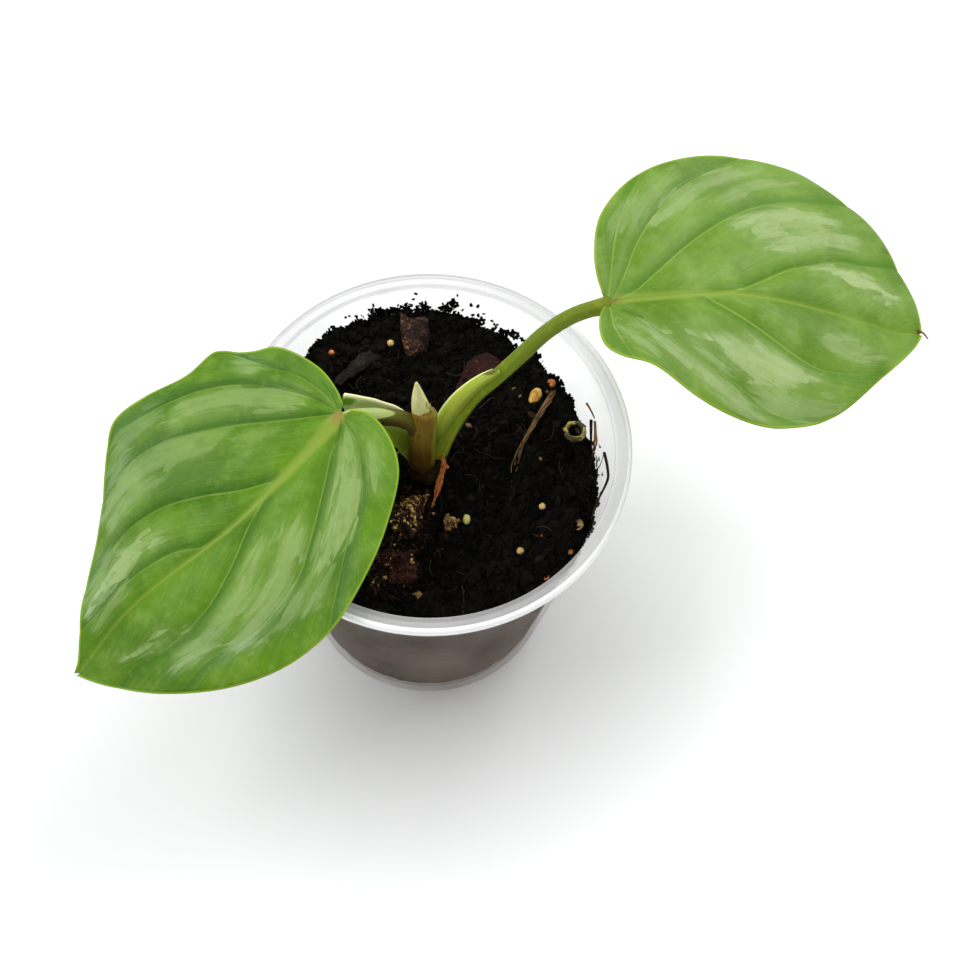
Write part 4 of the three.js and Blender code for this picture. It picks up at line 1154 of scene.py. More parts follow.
# %% Finish of the crumbs
tone = crumb_finish.attribute("tone")["Fac"]
tint = crumb_finish.over((4, 4, 3), (14, 12, 8), tone, 0.2, 0.9)
tint = crumb_finish.over(tint, (30, 24, 16), tone, 0.95, 0.97)
tint = crumb_finish.over(tint, (128, 100, 60), tone, 0.992, 0.995)
grit = crumb_finish.noise(1500, 2)
crumb_finish.set("Base Color", crumb_finish.over(tint, (22, 18, 13), grit, 0.5, 0.75, 0.3))
crumb_finish.bump((grit, 0.5, 0.0003))
print("crumbs' finish:", len(crumb_finish.tree.nodes), "nodes")


# %% Coarse and fine crumbs from the same tree
def copy_of(source):
    """A copy of a piece's mesh for a tree to grow on."""
    return in_scene("ground", source.data.copy())


coarse = grown("crumbs_coarse", copy_of(soil), crumbs, flat=True,
               Density=0.35e6, Small=0.9 * MM, Large=2.4 * MM, Seed=5)
settle(coarse, "soil")
fine = grown("crumbs_fine", copy_of(soil), crumbs, flat=True,
             Density=1.1e6, Small=0.3 * MM, Large=1.1 * MM, Seed=9)
settle(fine, "soil")

# %% [markdown]
# ## Hair roots
# Thin pale roots lie between the crumbs. They could be drawn one by one, but a second tree scatters
# one bent curve in the same way, turns and shortens it, and pulls it about with noise, so that no
# two look alike. Each curve then becomes a thin tube.

# %% Lay hair roots
roots = Growth("hair roots", Density=4.0e4, Seed=21, Length=6.0 * MM, Radius=0.08 * MM)
bend = {"Start": (-0.5, 0, 0), "Middle": (0.05, 0.45, 0.12), "End": (0.5, -0.1, 0)}
bent = roots.add("GeometryNodeCurveQuadraticBezier", {"Resolution": 7, **bend})
threads = {"Instance": bent.outputs[0],
           "Rotation": roots.random((-0.3, -0.3, 0), (0.3, 0.3, 6.3), 22, "FLOAT_VECTOR"),
           "Scale": roots.sums("MULTIPLY", roots.random(0.3, 1.0, 23), roots.input("Length"))}
laid = roots.add("GeometryNodeInstanceOnPoints", {0: roots.scatter("inner"), **threads})
real = roots.add("GeometryNodeRealizeInstances", {0: roots.tone(laid.outputs[0], 24)})
drift = roots.add("ShaderNodeVectorMath", {0: roots.jitter(420.0), "Scale": 2.2 * MM}, operation="SCALE")
crooked = roots.add("GeometryNodeSetPosition", {0: real.outputs[0], "Offset": drift.outputs[0]})
section = roots.add("GeometryNodeCurvePrimitiveCircle",
                    {"Resolution": 4, "Radius": roots.input("Radius")}, mode="RADIUS")
skinned = roots.add("GeometryNodeCurveToMesh",
                    {0: crooked.outputs[0], 1: section.outputs[0], "Fill Caps": True})
root_finish = Finish("hair roots", roughness=0.8, specular=0.2)
roots.finish(skinned.outputs[0], root_finish)
tone = root_finish.attribute("tone")["Fac"]
tint = root_finish.over((14, 11, 8), (66, 50, 30), tone, 0.4, 1.0)
root_finish.set("Base Color", root_finish.blend(root_finish.noise(700), tint, (60, 44, 28)))
hair_roots = grown("hair_roots", copy_of(soil), roots)
settle(hair_roots, "fibre")

# %% [markdown]
# ## Bark, charcoal and how a plain solid becomes a rough one
# The chips' solids already have the right size and tilt. A copy of each is welded, cut into small
# even faces, and pushed in and out with noise: low, wide noise for its lumps, and ridged noise
# that is stretched along the chip for the layers of bark. The finish then only has to add colour.

# %% Chips from their solids
LUMP_SIZE, LAYER_SIZE, PIT_SIZE = 2.8, 1.9, 0.9


def chip_piece(name, slot, finish, grain, lumps, layers, voxel):
    """Roughens a copy of a solid. grain is the direction that the layers run in."""
    mesh = nodes[name].data.copy()
    shape = bmesh.new()
    shape.from_mesh(mesh)
    bmesh.ops.remove_doubles(shape, verts=shape.verts, dist=1e-5)
    shape.to_mesh(mesh)
    shape.free()
    source = in_scene(name + "_rough", mesh)
    remesh = source.modifiers.new("even faces", "REMESH")
    remesh.mode, remesh.voxel_size = "VOXEL", voxel * MM
    rounding = source.modifiers.new("worn edges", "SMOOTH")
    rounding.factor, rounding.iterations = 0.5, 3
    bpy.context.view_layer.update()
    even = bpy.data.meshes.new_from_object(source.evaluated_get(bpy.context.evaluated_depsgraph_get()))
    bpy.data.objects.remove(source)
    along = Vector(grain).normalized()
    normals = [v.normal.copy() for v in even.vertices]
    for v, normal in zip(even.vertices, normals):
        p = v.co / MM
        squeezed = p - along * p.dot(along) * 0.72
        push = lumps * noise.fractal(p / LUMP_SIZE, 0.9, 2.1, 3)
        push += layers * (noise.ridged_multi_fractal(squeezed / LAYER_SIZE, 0.8, 2.1, 3, 0.9, 1.8) - 1.2)
        push += 0.12 * noise.cell(p / PIT_SIZE)
        v.co += normal * push * MM
    even.materials.clear()
    even.materials.append(finish.material)
    even.polygons.foreach_set("use_smooth", [True] * len(even.polygons))
    settle(in_scene(name + "_rough", even), slot, name)


print("solids to roughen:", [name for name in nodes if name.startswith("bark")])


# %% Finishes of bark and charcoal
def bark_finish(name, dark, middle, light, crumb, crumb_share):
    f = Finish(name, roughness=0.9, specular=0.2)
    broad = f.noise(260, 4, 0.6)
    fibres = f.noise(1, 4, 0.65, f.stretch(f.place, (320, 1500, 900)), 0.4)
    specks = f.noise(1700, 2, 0.6)
    tint = f.over(dark, middle, broad, 0.35, 0.65)
    tint = f.over(tint, light, fibres, 0.45, 0.68, 0.55)
    grit = f.sums("ADD", specks, f.sums("MULTIPLY", broad, 0.5))
    f.set("Base Color", f.over(tint, crumb, grit, 1.05 - crumb_share, 1.12 - crumb_share))
    f.bump((broad, 0.5, 0.0008), (fibres, 0.8, 0.0005), (specks, 0.5, 0.0003))
    return f


print("bark can be painted")


# %% Make the chips
# name, slot, then the finish: its name, four colours from dark to crumbs, and the crumbs' share;
# then the way the layers run, and the lumps', layers' and faces' sizes in millimetres
CHIPS = (
    ("bark_front", "bark",
     ("crumbling bark", (24, 12, 8), (74, 41, 27), (112, 78, 48), (180, 142, 88), 0.18),
     (0.3, 1, 0.1), 0.55, 0.4, 0.3),
    ("bark_front_low", "bark",
     ("dark bark", (16, 8, 6), (56, 29, 21), (98, 56, 36), (172, 120, 76), 0.14),
     (1, 0.3, 0.1), 0.6, 0.5, 0.3),
    ("bark_small", "bark",
     ("tan bark", (70, 46, 30), (132, 96, 64), (168, 130, 90), (200, 164, 116), 0.2),
     (0.4, 1, 0), 0.3, 0.25, 0.22),
    ("bark_back", "red_bark", ("red bark", (14, 8, 6), (50, 29, 22), (84, 54, 40), (120, 88, 62), 0.2),
     (0.2, 1, 0.2), 0.7, 0.55, 0.3),
    ("bark_red", "red_bark",
     ("wine red bark", (14, 6, 5), (44, 19, 15), (64, 30, 24), (84, 50, 36), 0.14),
     (0.7, 0.6, 0), 0.35, 0.3, 0.34),
    ("bark_charcoal", "charcoal",
     ("charcoal", (10, 9, 7), (26, 24, 19), (46, 41, 30), (66, 56, 40), 0.14),
     (0.8, 0.6, 0), 0.35, 0.3, 0.34),
)
for name, slot, colours, grain, lumps, layers, voxel in CHIPS:
    chip_piece(name, slot, bark_finish(*colours), grain, lumps, layers, voxel)

# %% [markdown]
# ## Crumbs round the bark, and soil on the wall
# The bark at the front has crumbled into red and golden bits, and watering has thrown soil up the
# pot's wall, most of it at the back. Both grow from the same tree as the loose crumbs: only the
# surface, the share of it that is covered and the finish differ. Noise makes the soil's edge ragged.

# %% Crumbs of bark
def scattered(name, surface, shares, finish, slot, **values):
    """Crumbs of another finish, on a surface of which each point has its share of them."""
    if "top" not in surface.data.attributes:
        surface.data.attributes.new("top", "FLOAT", "POINT")
    surface.data.attributes["top"].data.foreach_set("value", np.asarray(shares, np.float32))
    made = grown(name, surface, crumbs, flat=True, **values)
    made.data.materials[0] = finish.material
    settle(made, slot)


def bit_finish(name, gold_from, gold_to):
    """Bits of bark: brown ones, and golden ones that lie in clusters."""
    f = Finish(name, roughness=0.9, specular=0.12)
    tone = f.attribute("tone")["Fac"]
    cluster = f.step(f.noise(330, 2, 0.5), gold_from, gold_to)
    brown = f.over((16, 9, 6), (68, 36, 23), tone, 0.25, 0.65)
    gold = f.over((140, 98, 48), (220, 184, 106), tone, 0.3, 0.95)
    share = f.step(f.sums("ADD", tone, cluster), 1.3, 1.4)
    tint = f.blend(share, brown, gold)
    tint = f.over(tint, (190, 154, 96), tone, 0.955, 0.965)
    grit = f.noise(1400, 3, 0.7)
    f.set("Base Color", f.over(tint, (40, 22, 14), grit, 0.45, 0.7, 0.6))
    f.bump((grit, 0.6, 0.0004))
    return f


print("the soil has", len(soil.data.vertices), "points to weigh")


# %% Where the crumbs of bark lie
ends = [np.add(*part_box(name))[:2] / (2 * MM) for name in ("bark_front", "bark_front_low")]
corners = np.array([v.co for v in soil.data.vertices]) / MM
line = ends[0] + np.linspace(-0.15, 1.1, 30)[:, None] * (ends[1] - ends[0])
near = least_distance(corners[:, :2], line)[0]
tops = np.zeros(len(corners), np.float32)
soil.data.attributes["top"].data.foreach_get("value", tops)
scattered("crumbs_bark_bed", copy_of(soil), tops * smooth((5.4 - near) / 3),
          bit_finish("bed of bark", 0.62, 0.7),
          "bark", Density=3e6, Small=0.2 * MM, Large=1.15 * MM, Seed=31)
clusters = {"bark_front": (0.41, 0.52), "bark_front_low": (0.56, 0.66), "bark_small": (0.2, 0.3)}
for number, (name, (gold_from, gold_to)) in enumerate(clusters.items()):
    chip = bpy.data.objects[name + "_rough"]
    shares = [max(0, v.normal.z - 0.1) for v in chip.data.vertices]
    scattered(f"crumbs_on_bark_{number + 1}", copy_of(chip), shares,
              bit_finish(f"crumbs on {name}", gold_from, gold_to),
              "bark", Density=6e6, Small=0.12 * MM, Large=0.8 * MM, Seed=40 + number)

# %% Soil on the wall
BAND_STEPS, BAND_SIDES = 44, 420
BAND_RADIUS, BAND_FROM, BAND_REACH, BAND_TOP = 30.6, -1, 8.5, 59.2
points, shares = [], []
for i in range(BAND_STEPS + 1):
    for k in range(BAND_SIDES):
        angle = 2 * math.pi * k / BAND_SIDES
        lift = BAND_FROM + BAND_REACH * i / BAND_STEPS
        ground = soil_height(BAND_RADIUS * math.cos(angle), BAND_RADIUS * math.sin(angle))
        z = min(ground + lift, BAND_TOP)
        radius = inner_radius(z) - 0.1
        points.append((radius * math.cos(angle), radius * math.sin(angle), z))
        at_back = 1.5 * max(0, math.cos(angle - 1.3)) ** 3
        at_right = 3 * math.exp(-((angle - 6.0) / 0.14) ** 2)
        climb = 0.8 + at_back + at_right
        patch = noise.fractal(Vector(points[-1]) / 2.6, 0.8, 2.1, 3)
        share = smooth((1.05 - lift / climb + 1.4 * patch) * 1.6)
        flecks = 0.012 * (lift < 5) * max(0, math.cos(angle - 1.2)) ** 8
        shares.append(max(share, flecks, 0.003 * (lift < 3)) * (z < 59.1))
faces = [face[::-1] for face in grid_faces(BAND_STEPS + 1, BAND_SIDES, closed=True)]
band_mesh = bpy.data.meshes.new("wall band")
band_mesh.from_pydata((np.array(points) * MM).tolist(), [], faces)
scattered("soil_on_wall", in_scene("wall band", band_mesh), shares, crumb_finish,
          "soil", Density=9e6, Small=0.2 * MM, Large=0.9 * MM, Seed=51)

# %% [markdown]
# ## Grains and pellets
# Some are pale seeds, some are orange beads of fertiliser. Each is an egg shape, a little uneven,
# sized by its solid. A bead is glossier than a seed, and its colour is cloudy.

# %% Grains from their solids
def grain_finish(name, pale, deep, roughness):
    f = Finish(name, roughness=roughness, specular=0.4)
    clouds = f.noise(900, 3, 0.6)
    specks = f.noise(3600, 2, 0.5)
    tint = f.over(pale, deep, clouds, 0.36, 0.62)
    f.set("Base Color", f.over(tint, (96, 66, 34), specks, 0.62, 0.74, 0.7))
    f.bump((clouds, 0.3, 0.0003), (specks, 0.3, 0.00015))
    return f


SLANT_STRETCH, SLANT_LIFT = (0.88, 1.13, 1), 0.35


def grain_piece(name, slot, finish, long_way=None, rings=16, sides=24):
    """An uneven egg in the box of its solid. long_way is its heading in degrees, where it lies aslant."""
    low, high = (np.array(v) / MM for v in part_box(name))
    centre, half = (low + high) / 2, (high - low) / 2
    if long_way is not None:
        half = half * SLANT_STRETCH
        slant = math.radians(long_way - 90)
        cos, sin = math.cos(slant), math.sin(slant)
    points = []
    for i in range(rings + 1):
        turn = math.pi * i / rings
        for k in range(sides):
            angle = 2 * math.pi * k / sides
            way = np.array([math.sin(turn) * math.cos(angle), math.sin(turn) * math.sin(angle),
                            math.cos(turn)])
            if i in (0, rings):
                way = np.array([0, 0, math.cos(turn)])
            dent = 1 + 0.16 * noise.noise(Vector(way * 1.3 + centre))
            dent += 0.05 * noise.noise(Vector(way * 4 + centre))
            x, y, z = way * half * dent
            if long_way is not None:
                x, y = x * cos - y * sin, x * sin + y * cos
                z += SLANT_LIFT
            points.append(centre + (x, y, z))
    settle(piece(name + "_round", points, grid_faces(rings + 1, sides, closed=True), finish), slot, name)


print("grains:", sum(name.startswith(("grain", "pellet")) for name in nodes))


# %% Make the grains
seed_finish = grain_finish("pale seed", (222, 192, 120), (188, 148, 84), 0.55)
bead_finish = grain_finish("orange bead", (212, 138, 62), (170, 90, 36), 0.4)
grain_piece("pellet_bean", "grain", grain_finish("golden bean", (222, 186, 84), (186, 118, 42), 0.45), 62)
grain_piece("pellet_tan", "grain", grain_finish("tan pellet", (176, 148, 96), (122, 94, 58), 0.7))
grain_piece("grain_1", "grain", grain_finish("green seed", (206, 204, 118), (160, 160, 80), 0.55))
for name in ("grain_2", "grain_3", "grain_7"):
    grain_piece(name, "grain", seed_finish)
for name in ("pellet_orange", "grain_4", "grain_5", "grain_6", "grain_8"):
    grain_piece(name, "bead", bead_finish)

# %% [markdown]
# ## The seed shell
# One seed has split and only its round shell is left, mouth up. A half sphere would look like a
# cup from a shop, so a profile is turned with an uneven rim, thick at the mouth and closed below,
# and the same noise dents it inside and out. The finish paints the hollow nearly black, as painted shade.

# %% The empty seed shell
SHELL_RINGS, SHELL_SIDES = 34, 40
low, high = (np.array(v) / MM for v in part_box("seed_shell"))
shell_centre, shell_radius = (low + high) / 2, (high[0] - low[0]) / 2
shell_centre[2] = high[2] - 0.6 * shell_radius
SHELL_OUTLINE = [(0, -0.8), (0.45, -0.76), (0.8, -0.5), (1, 0), (0.97, 0.3), (0.87, 0.5),
                 (0.77, 0.5), (0.7, 0.34), (0.66, 0), (0.5, -0.35), (0, -0.5)]
shell_profile = curve_through(SHELL_OUTLINE, SHELL_RINGS) * shell_radius
points, inside = [], []
for number, (x, z) in enumerate(shell_profile):
    for k in range(SHELL_SIDES):
        angle = 2 * math.pi * k / SHELL_SIDES
        spot = Vector((math.cos(angle), math.sin(angle), z))
        dent = 1 + 0.16 * noise.noise(spot * 1.7) + 0.2 * noise.noise(spot * 3.1)
        inside.append(number / (SHELL_RINGS - 1))
        out = max(x, 0) * dent
        points.append(shell_centre + (out * math.cos(angle), out * math.sin(angle), z))
shell_finish = grain_finish("seed shell", (206, 190, 112), (160, 142, 70), 0.5)
f = shell_finish
rind = f.shader.inputs["Base Color"].links[0].from_socket
rind = f.over(rind, (52, 48, 26), f.noise(300, 3, 0.6), 0.45, 0.53, 0.9)
# painted shade: the hollow inside the shell is painted nearly black
f.set("Base Color", f.over(rind, (9, 8, 5), f.attribute("inside")["Fac"], 0.68, 0.74))
shell = piece("seed_shell_round", points, grid_faces(SHELL_RINGS, SHELL_SIDES, closed=True),
              shell_finish, {"inside": inside})
settle(shell, "grain", "seed_shell")

# %% [markdown]
# ## Stem and petioles
# The left petiole rises as a brown column and then bends over to its leaf. The right one is olive
# green. Both carry a sheath, two thin wings that once held the next leaf. A petiole is a swept tube
# with shallow ridges along it, and a sheath is a sheet between two edge curves.

# %% Tubes
def tube(path, steps, sides, radius):
    """A closed tube along a path. radius(t, angle) gives its radius; the section doesn't twist.
    Gives points, faces and, for each point, its shares of the way along and round, 0 to 1."""
    line = curve_through(path, steps + 1)
    along = np.gradient(line, axis=0)
    along /= np.linalg.norm(along, axis=1)[:, None]
    chord = line[-1] - line[0]
    side = np.array([chord[1], -chord[0], 0.0])
    if np.linalg.norm(side) < 1e-6:
        side = np.array([1.0, 0, 0])
    angle = np.linspace(0, 2 * math.pi, sides, endpoint=False)
    points, place = [], []
    for i, centre in enumerate(line):
        side = side - along[i] * side.dot(along[i])
        side /= np.linalg.norm(side)
        up = np.cross(side, along[i])
        r = radius(i / steps, angle) + np.zeros(sides)
        points.append(centre + np.outer(np.cos(angle) * r, side) + np.outer(np.sin(angle) * r, up))
        place.append(np.column_stack([np.full(sides, i / steps), angle / (2 * math.pi)]))
    faces = grid_faces(steps + 1, sides, closed=True)
    ends = len(line) * sides
    faces += [(ends, (j + 1) % sides, j) for j in range(sides)]
    faces += [(ends + 1, steps * sides + j, steps * sides + (j + 1) % sides) for j in range(sides)]
    points = np.vstack([*points, line[:1], line[-1:]])
    place = np.vstack([*place, [[0, 0]], [[1, 0]]])
    return points, faces, place


upright = tube([(0, 0, 0), (0, 0, 9)], 4, 6, lambda t, angle: 1)
print("a tube of 4 steps and 6 sides has", len(upright[1]), "faces")


# %% Finish of a stalk
def stalk_finish(name, base, middle, far, line, roughness=0.45):
    """Colours by the distance along (0 to 1), with fine lines that run along the stalk."""
    f = Finish(name, roughness=roughness, specular=0.12)
    place = f.attribute("place")["Vector"]
    along, around, lift = f.parts(place)
    lines = f.noise(1, 3, 0.6, f.stretch(place, (5, 46, 3)))
    spots = f.noise(420, 3, 0.6)
    tint = f.over(base, middle, along, 0.0, 0.35)
    tint = f.over(tint, far, along, 0.4, 0.75)
    tint = f.over(tint, line, lines, 0.42, 0.62, 0.55)
    tint = f.over(tint, base, spots, 0.5, 0.72, 0.35)
    f.set("Base Color", tint)
    f.bump((lines, 0.35, 0.0004), (spots, 0.2, 0.0003))
    f.tint, f.lift, f.along, f.around = tint, lift, along, around
    return f


def stalk_piece(name, slot, path, radius, finish, steps, sides, *stands_for):
    """A tube with three marks on each point: along, round from side to side, and facing up."""
    points, faces, place = tube(path, steps, sides, radius)
    line = curve_through(path, steps + 1)
    centre = np.vstack([np.repeat(line, sides, axis=0), line[:1], line[-1:]])
    lift = (points - centre)[:, 2] / np.maximum(np.linalg.norm(points - centre, axis=1), 1e-6)
    marks = np.column_stack([place[:, 0], 0.5 - 0.5 * np.cos(2 * np.pi * place[:, 1]), lift])
    settle(piece(name, points, faces, finish, {"place": marks}), slot, *stands_for)


print("stalks can be made")


# %% The brown column of the left petiole
column_finish = stalk_finish("brown petiole", (38, 22, 8), (80, 64, 18), (70, 64, 8), (44, 32, 4))
f = column_finish
# painted light: the column's upper side is painted lighter where light falls on it, and its underside
# red-brown as painted shadow
tint = f.over(f.tint, (104, 104, 32), f.lift, 0.5, 0.95, 0.6)
tint = f.over(tint, (64, 24, 12), f.lift, -0.1, -0.6, 0.85)
pale = f.step(f.sums("MULTIPLY_ADD", f.lift, 0.42, f.along), 1.04, 1.07)
f.set("Base Color", f.blend(pale, tint, (158, 174, 104)))


def column_radius(t, angle):
    base = 1.8 + (1.5 - 1.8) * smooth(t / 0.55)
    base *= 1 - 0.25 * smooth((t - 0.93) / 0.07)
    return base * (1 + 0.025 * np.cos(7 * angle) + 0.02 * np.cos(11 * angle + 1))


COLUMN_PATH = [(-1.38, -0.5, 52.35), (-1.5, -0.3, 56), (-1.6, 0.1, 61), (-2.8, 1, 64.4),
               (-5.2, 1.1, 66.2), (-8.2, 0.7, 67.2), (-11.4, 0, 68), (-14.9, -1, 68.6)]
stalk_piece("petiole_left_column", "petiole_olive_brown", COLUMN_PATH, column_radius, column_finish,
            130, 40, "petiole_left")

# %% The collar round the new shoot
COLLAR_PATH = [(-1.4, -0.2, 52.1), (-1.4, -0.4, 56), (-1.35, 0, 60.5), (-1.2, 1.5, 64.4), (-1.1, 2.8, 67)]
collar_finish = stalk_finish("collar of the sheath", (15, 9, 4), (80, 58, 11), (118, 93, 22),
                             (78, 58, 13))
f = collar_finish
flank = f.step(f.sums("ABSOLUTE", f.sums("SUBTRACT", f.around, 0.5)), 0.38, 0.5, 0, 0.6)
flank = f.sums("MULTIPLY", flank, f.step(f.along, 0.04, 0.25))
f.set("Base Color", f.blend(flank, f.tint, (118, 130, 38)))


def collar_radius(t, angle):
    top = 1 - 0.28 * smooth((t - 0.96) / 0.04)
    body = 2.3 - 0.1 * smooth((t - 0.4) / 0.5)
    return body * top * (1 + 0.025 * np.cos(5 * angle) + 0.015 * np.cos(9 * angle))


stalk_piece("petiole_left_collar", "petiole_olive_brown", COLLAR_PATH, collar_radius,
            collar_finish, 90, 44)

# %% The green petiole
green_finish = stalk_finish("green petiole", (146, 162, 40), (116, 138, 28), (110, 124, 30), (82, 98, 18))
f = green_finish
# painted shade: the green petiole's underside is painted darker
f.set("Base Color", f.over(f.tint, (66, 74, 16), f.lift, 0.0, -0.7, 0.7))


def green_radius(t, angle):
    base = 1.7 + (1.35 - 1.7) * smooth(t / 0.35) + 0.3 * smooth((t - 0.93) / 0.07)
    return base * (1 + 0.03 * np.cos(6 * angle) + 0.02 * np.cos(9 * angle + 2))


RIGHT_PATH = [(1.2, 2.1, 52.35), (2.9, 4, 57.4), (6.7, 7.1, 64), (10.6, 8.8, 69), (14, 10, 74),
              (18.3, 11.8, 80), (22, 13.1, 83.3), (25.2, 14, 84.7), (28.3, 14.8, 85)]
stalk_piece("petiole_right_stalk", "petiole_green", RIGHT_PATH, green_radius, green_finish, 150, 36,
            "petiole_right")

# %% [markdown]
# ## The sheaths
# A sheath is two thin wings along the petiole's foot. It was wrapped round the next leaf and still
# curls. One sheet between two edge curves, bulging in the middle, gives that with few numbers. The
# finish tells the outside from the inside by the share of the way across, and pales at the edge.

# %% Sheets
def thick_sheet(middle, thickness):
    """A closed sheet round a grid of middle points, with a thickness for each of them.
    Gives points, faces and, for each point, 1 on the front face and 0 on the back."""
    rows, columns = middle.shape[:2]
    down, over = np.gradient(middle, axis=0), np.gradient(middle, axis=1)
    normal = np.cross(down, over)
    normal /= np.maximum(np.linalg.norm(normal, axis=2), 1e-9)[..., None]
    offset = normal * (np.asarray(thickness) / 2)[..., None]
    points = np.vstack([(middle + offset).reshape(-1, 3), (middle - offset).reshape(-1, 3)])
    count = rows * columns
    faces = grid_faces(rows, columns) + grid_faces(rows, columns, count)
    edge = list(range(columns)) + [i * columns + columns - 1 for i in range(1, rows)]
    edge += [(rows - 1) * columns + j for j in range(columns - 2, -1, -1)]
    edge += [i * columns for i in range(rows - 2, 0, -1)]
    for a, b in zip(edge, edge[1:] + edge[:1]):
        faces.append((a, b, b + count, a + count))
    return points, faces, np.repeat([1.0, 0.0], count)


def between(edge_a, edge_b, rows, columns, bulge):
    """A grid between two edge curves, bulging along `bulge` in the middle."""
    a, b = curve_through(edge_a, rows), curve_through(edge_b, rows)
    v = np.linspace(0, 1, columns)[None, :, None]
    return a[:, None] * (1 - v) + b[:, None] * v + np.sin(math.pi * v) * np.array(bulge, float)


bulging = between([(0, 0, 0), (4, 0, 0)], [(0, 3, 0), (4, 3, 0)], 5, 4, (0, 0, 1))
print("a sheet of 5 by 4 points, highest at", round(float(bulging[..., 2].max()), 2))


# %% Sheaths
def sheath_finish(name, near, far, edge, low_edge, spot, low=0.35, high=0.65, slant=0.0):
    """Colours from one edge of the sheath to the other, with fine lines along it."""
    f = Finish(name, roughness=0.42, specular=0.35)
    place = f.attribute("place")["Vector"]
    along, across, _ = f.parts(place)
    lines = f.noise(1, 3, 0.6, f.stretch(place, (4, 26, 1)))
    tint = f.over(near, far, f.sums("MULTIPLY_ADD", along, slant, across), low, high)
    tint = f.over(tint, (118, 136, 44), lines, 0.42, 0.62, 0.45)
    tint = f.over(tint, (206, 216, 122), lines, 0.44, 0.3, 0.4)
    tint = f.over(tint, (88, 112, 24), along, 0.34, 0.02, 0.85)
    at_end = f.step(f.sums("MULTIPLY_ADD", across, 0.12, along), 0.99, 1.03)
    tint = f.blend(f.sums("MULTIPLY", at_end, f.step(across, 0.5, 0.75)), tint, spot)
    tint = f.over(tint, edge, across, 0.89, 0.96)
    tint = f.over(tint, low_edge, across, 0.08, 0.02)
    f.set("Base Color", tint)
    f.bump((lines, 0.3, 0.0003))
    return f


def sheath_piece(name, slot, edge_a, edge_b, bulge, finish, rows=64, columns=22, width=0.8):
    """A slightly ragged sheet between two edges, thin at both of them."""
    middle = between(edge_a, edge_b, rows, columns, bulge)
    v = np.linspace(0, 1, columns)[None, :] + np.zeros((rows, 1))
    u = np.linspace(0, 1, rows)[:, None] + np.zeros((1, columns))
    ragged = np.array([[noise.noise(Vector((a * 9, b * 3, 1))) for b in v[0]] for a in u[:, 0]])
    middle = middle + ragged[..., None] * 0.14
    thick = width * (0.35 + 0.65 * np.sin(np.pi * v) ** 0.5)
    points, faces, front = thick_sheet(middle, thick)
    place = np.column_stack([np.tile(u.ravel(), 2), np.tile(v.ravel(), 2), front])
    settle(piece(name, points, faces, finish, {"place": place}), slot)


# painted light: the left sheath's inside is its own pale grey-green, painted still paler to stand for
# light where it lies in shade
left_wings = sheath_finish("left sheath", (152, 176, 46), (222, 246, 152), (238, 238, 180),
                           (128, 146, 40), (110, 168, 20), 1.1, 1.35, 1.3)
right_wings = sheath_finish("right sheath", (134, 154, 34), (170, 186, 56), (216, 222, 142),
                            (120, 140, 36), (96, 100, 24))
sheath_piece("petiole_left_sheath", "petiole_olive_brown",
             [(-1.1, -1.8, 52.5), (-4.4, -0.4, 55.4), (-6.6, 0.1, 59.4), (-9.4, 0.6, 64),
              (-12.6, 0.3, 66.6)],
             [(0.2, 1.7, 52.5), (-1.6, 3.2, 57), (-3.6, 3.4, 63.4), (-8.6, 3.5, 67.6),
              (-14.6, 2.8, 70.6)],
             (-1.2, 0.6, -1.2), left_wings)
sheath_piece("petiole_right_sheath", "petiole_green",
             [(1.2, 1.9, 52.5), (3, 4, 57.8), (6.9, 7.1, 64.6), (10.2, 8.7, 68.6), (11.2, 9.2, 70.4)],
             [(-0.4, 3.2, 52.5), (0.5, 4.5, 60.4), (3.5, 6.7, 66.2), (7.3, 8.3, 70), (9.9, 8.8, 71.8)],
             (0.6, -0.6, 1.1), right_wings)

# %% [markdown]
# ## The new shoot
# The next leaf is still rolled up in a pale pointed sheath, inside the collar. It is a tube again,
# a little flattened, that narrows to a point. The collar's rim has torn into a few short threads,
# so four thin cones stand on it.

# %% The new shoot
shoot_finish = stalk_finish("new shoot", (170, 184, 96), (206, 210, 140), (226, 220, 160),
                            (180, 190, 106), 0.4)


def shoot_radius(t, angle):
    return (0.2 + 1.6 * (1 - t ** 2.2)) * (1 + 0.06 * np.cos(2 * angle) + 0.04 * np.cos(5 * angle + 1))


stalk_piece("new_shoot_blade", "shoot",
            [(-1.2, 1.8, 61), (-1.5, 2.6, 65.6), (-2.15, 3, 70.4), (-2.55, 3.4, 75)],
            shoot_radius, shoot_finish, 70, 30, "new_shoot")
fringe_finish = stalk_finish("torn fringe", (186, 190, 110), (206, 204, 130), (190, 170, 96),
                             (150, 140, 70), 0.5)
FRINGE = ((-0.55, 2.4, 70.6), (-0.1, 2.6, 69.4), (0.25, 2.5, 68.3), (-0.95, 2.1, 68.9))


def thread_radius(t, angle):
    return 0.06 + 0.3 * (1 - t)


for number, (x, y, tip) in enumerate(FRINGE):
    fringe = [(x - 0.2, y - 0.3, 65.6), (x, y, 67), (x + 0.15 * number - 0.2, y + 0.1, tip)]
    stalk_piece(f"collar_fringe_{number + 1}", "shoot", fringe, thread_radius, fringe_finish, 24, 10)

# %% [markdown]
# ## The stem's crown
# The petioles grow from a short dark stem, ringed by the scars of older leaves, of which only the
# top shows. A tube with a radius that swells and shrinks along it makes the rings.

# %% The stem's crown
crown_finish = stalk_finish("stem crown", (22, 14, 7), (38, 25, 11), (50, 33, 14), (28, 18, 8), 0.8)


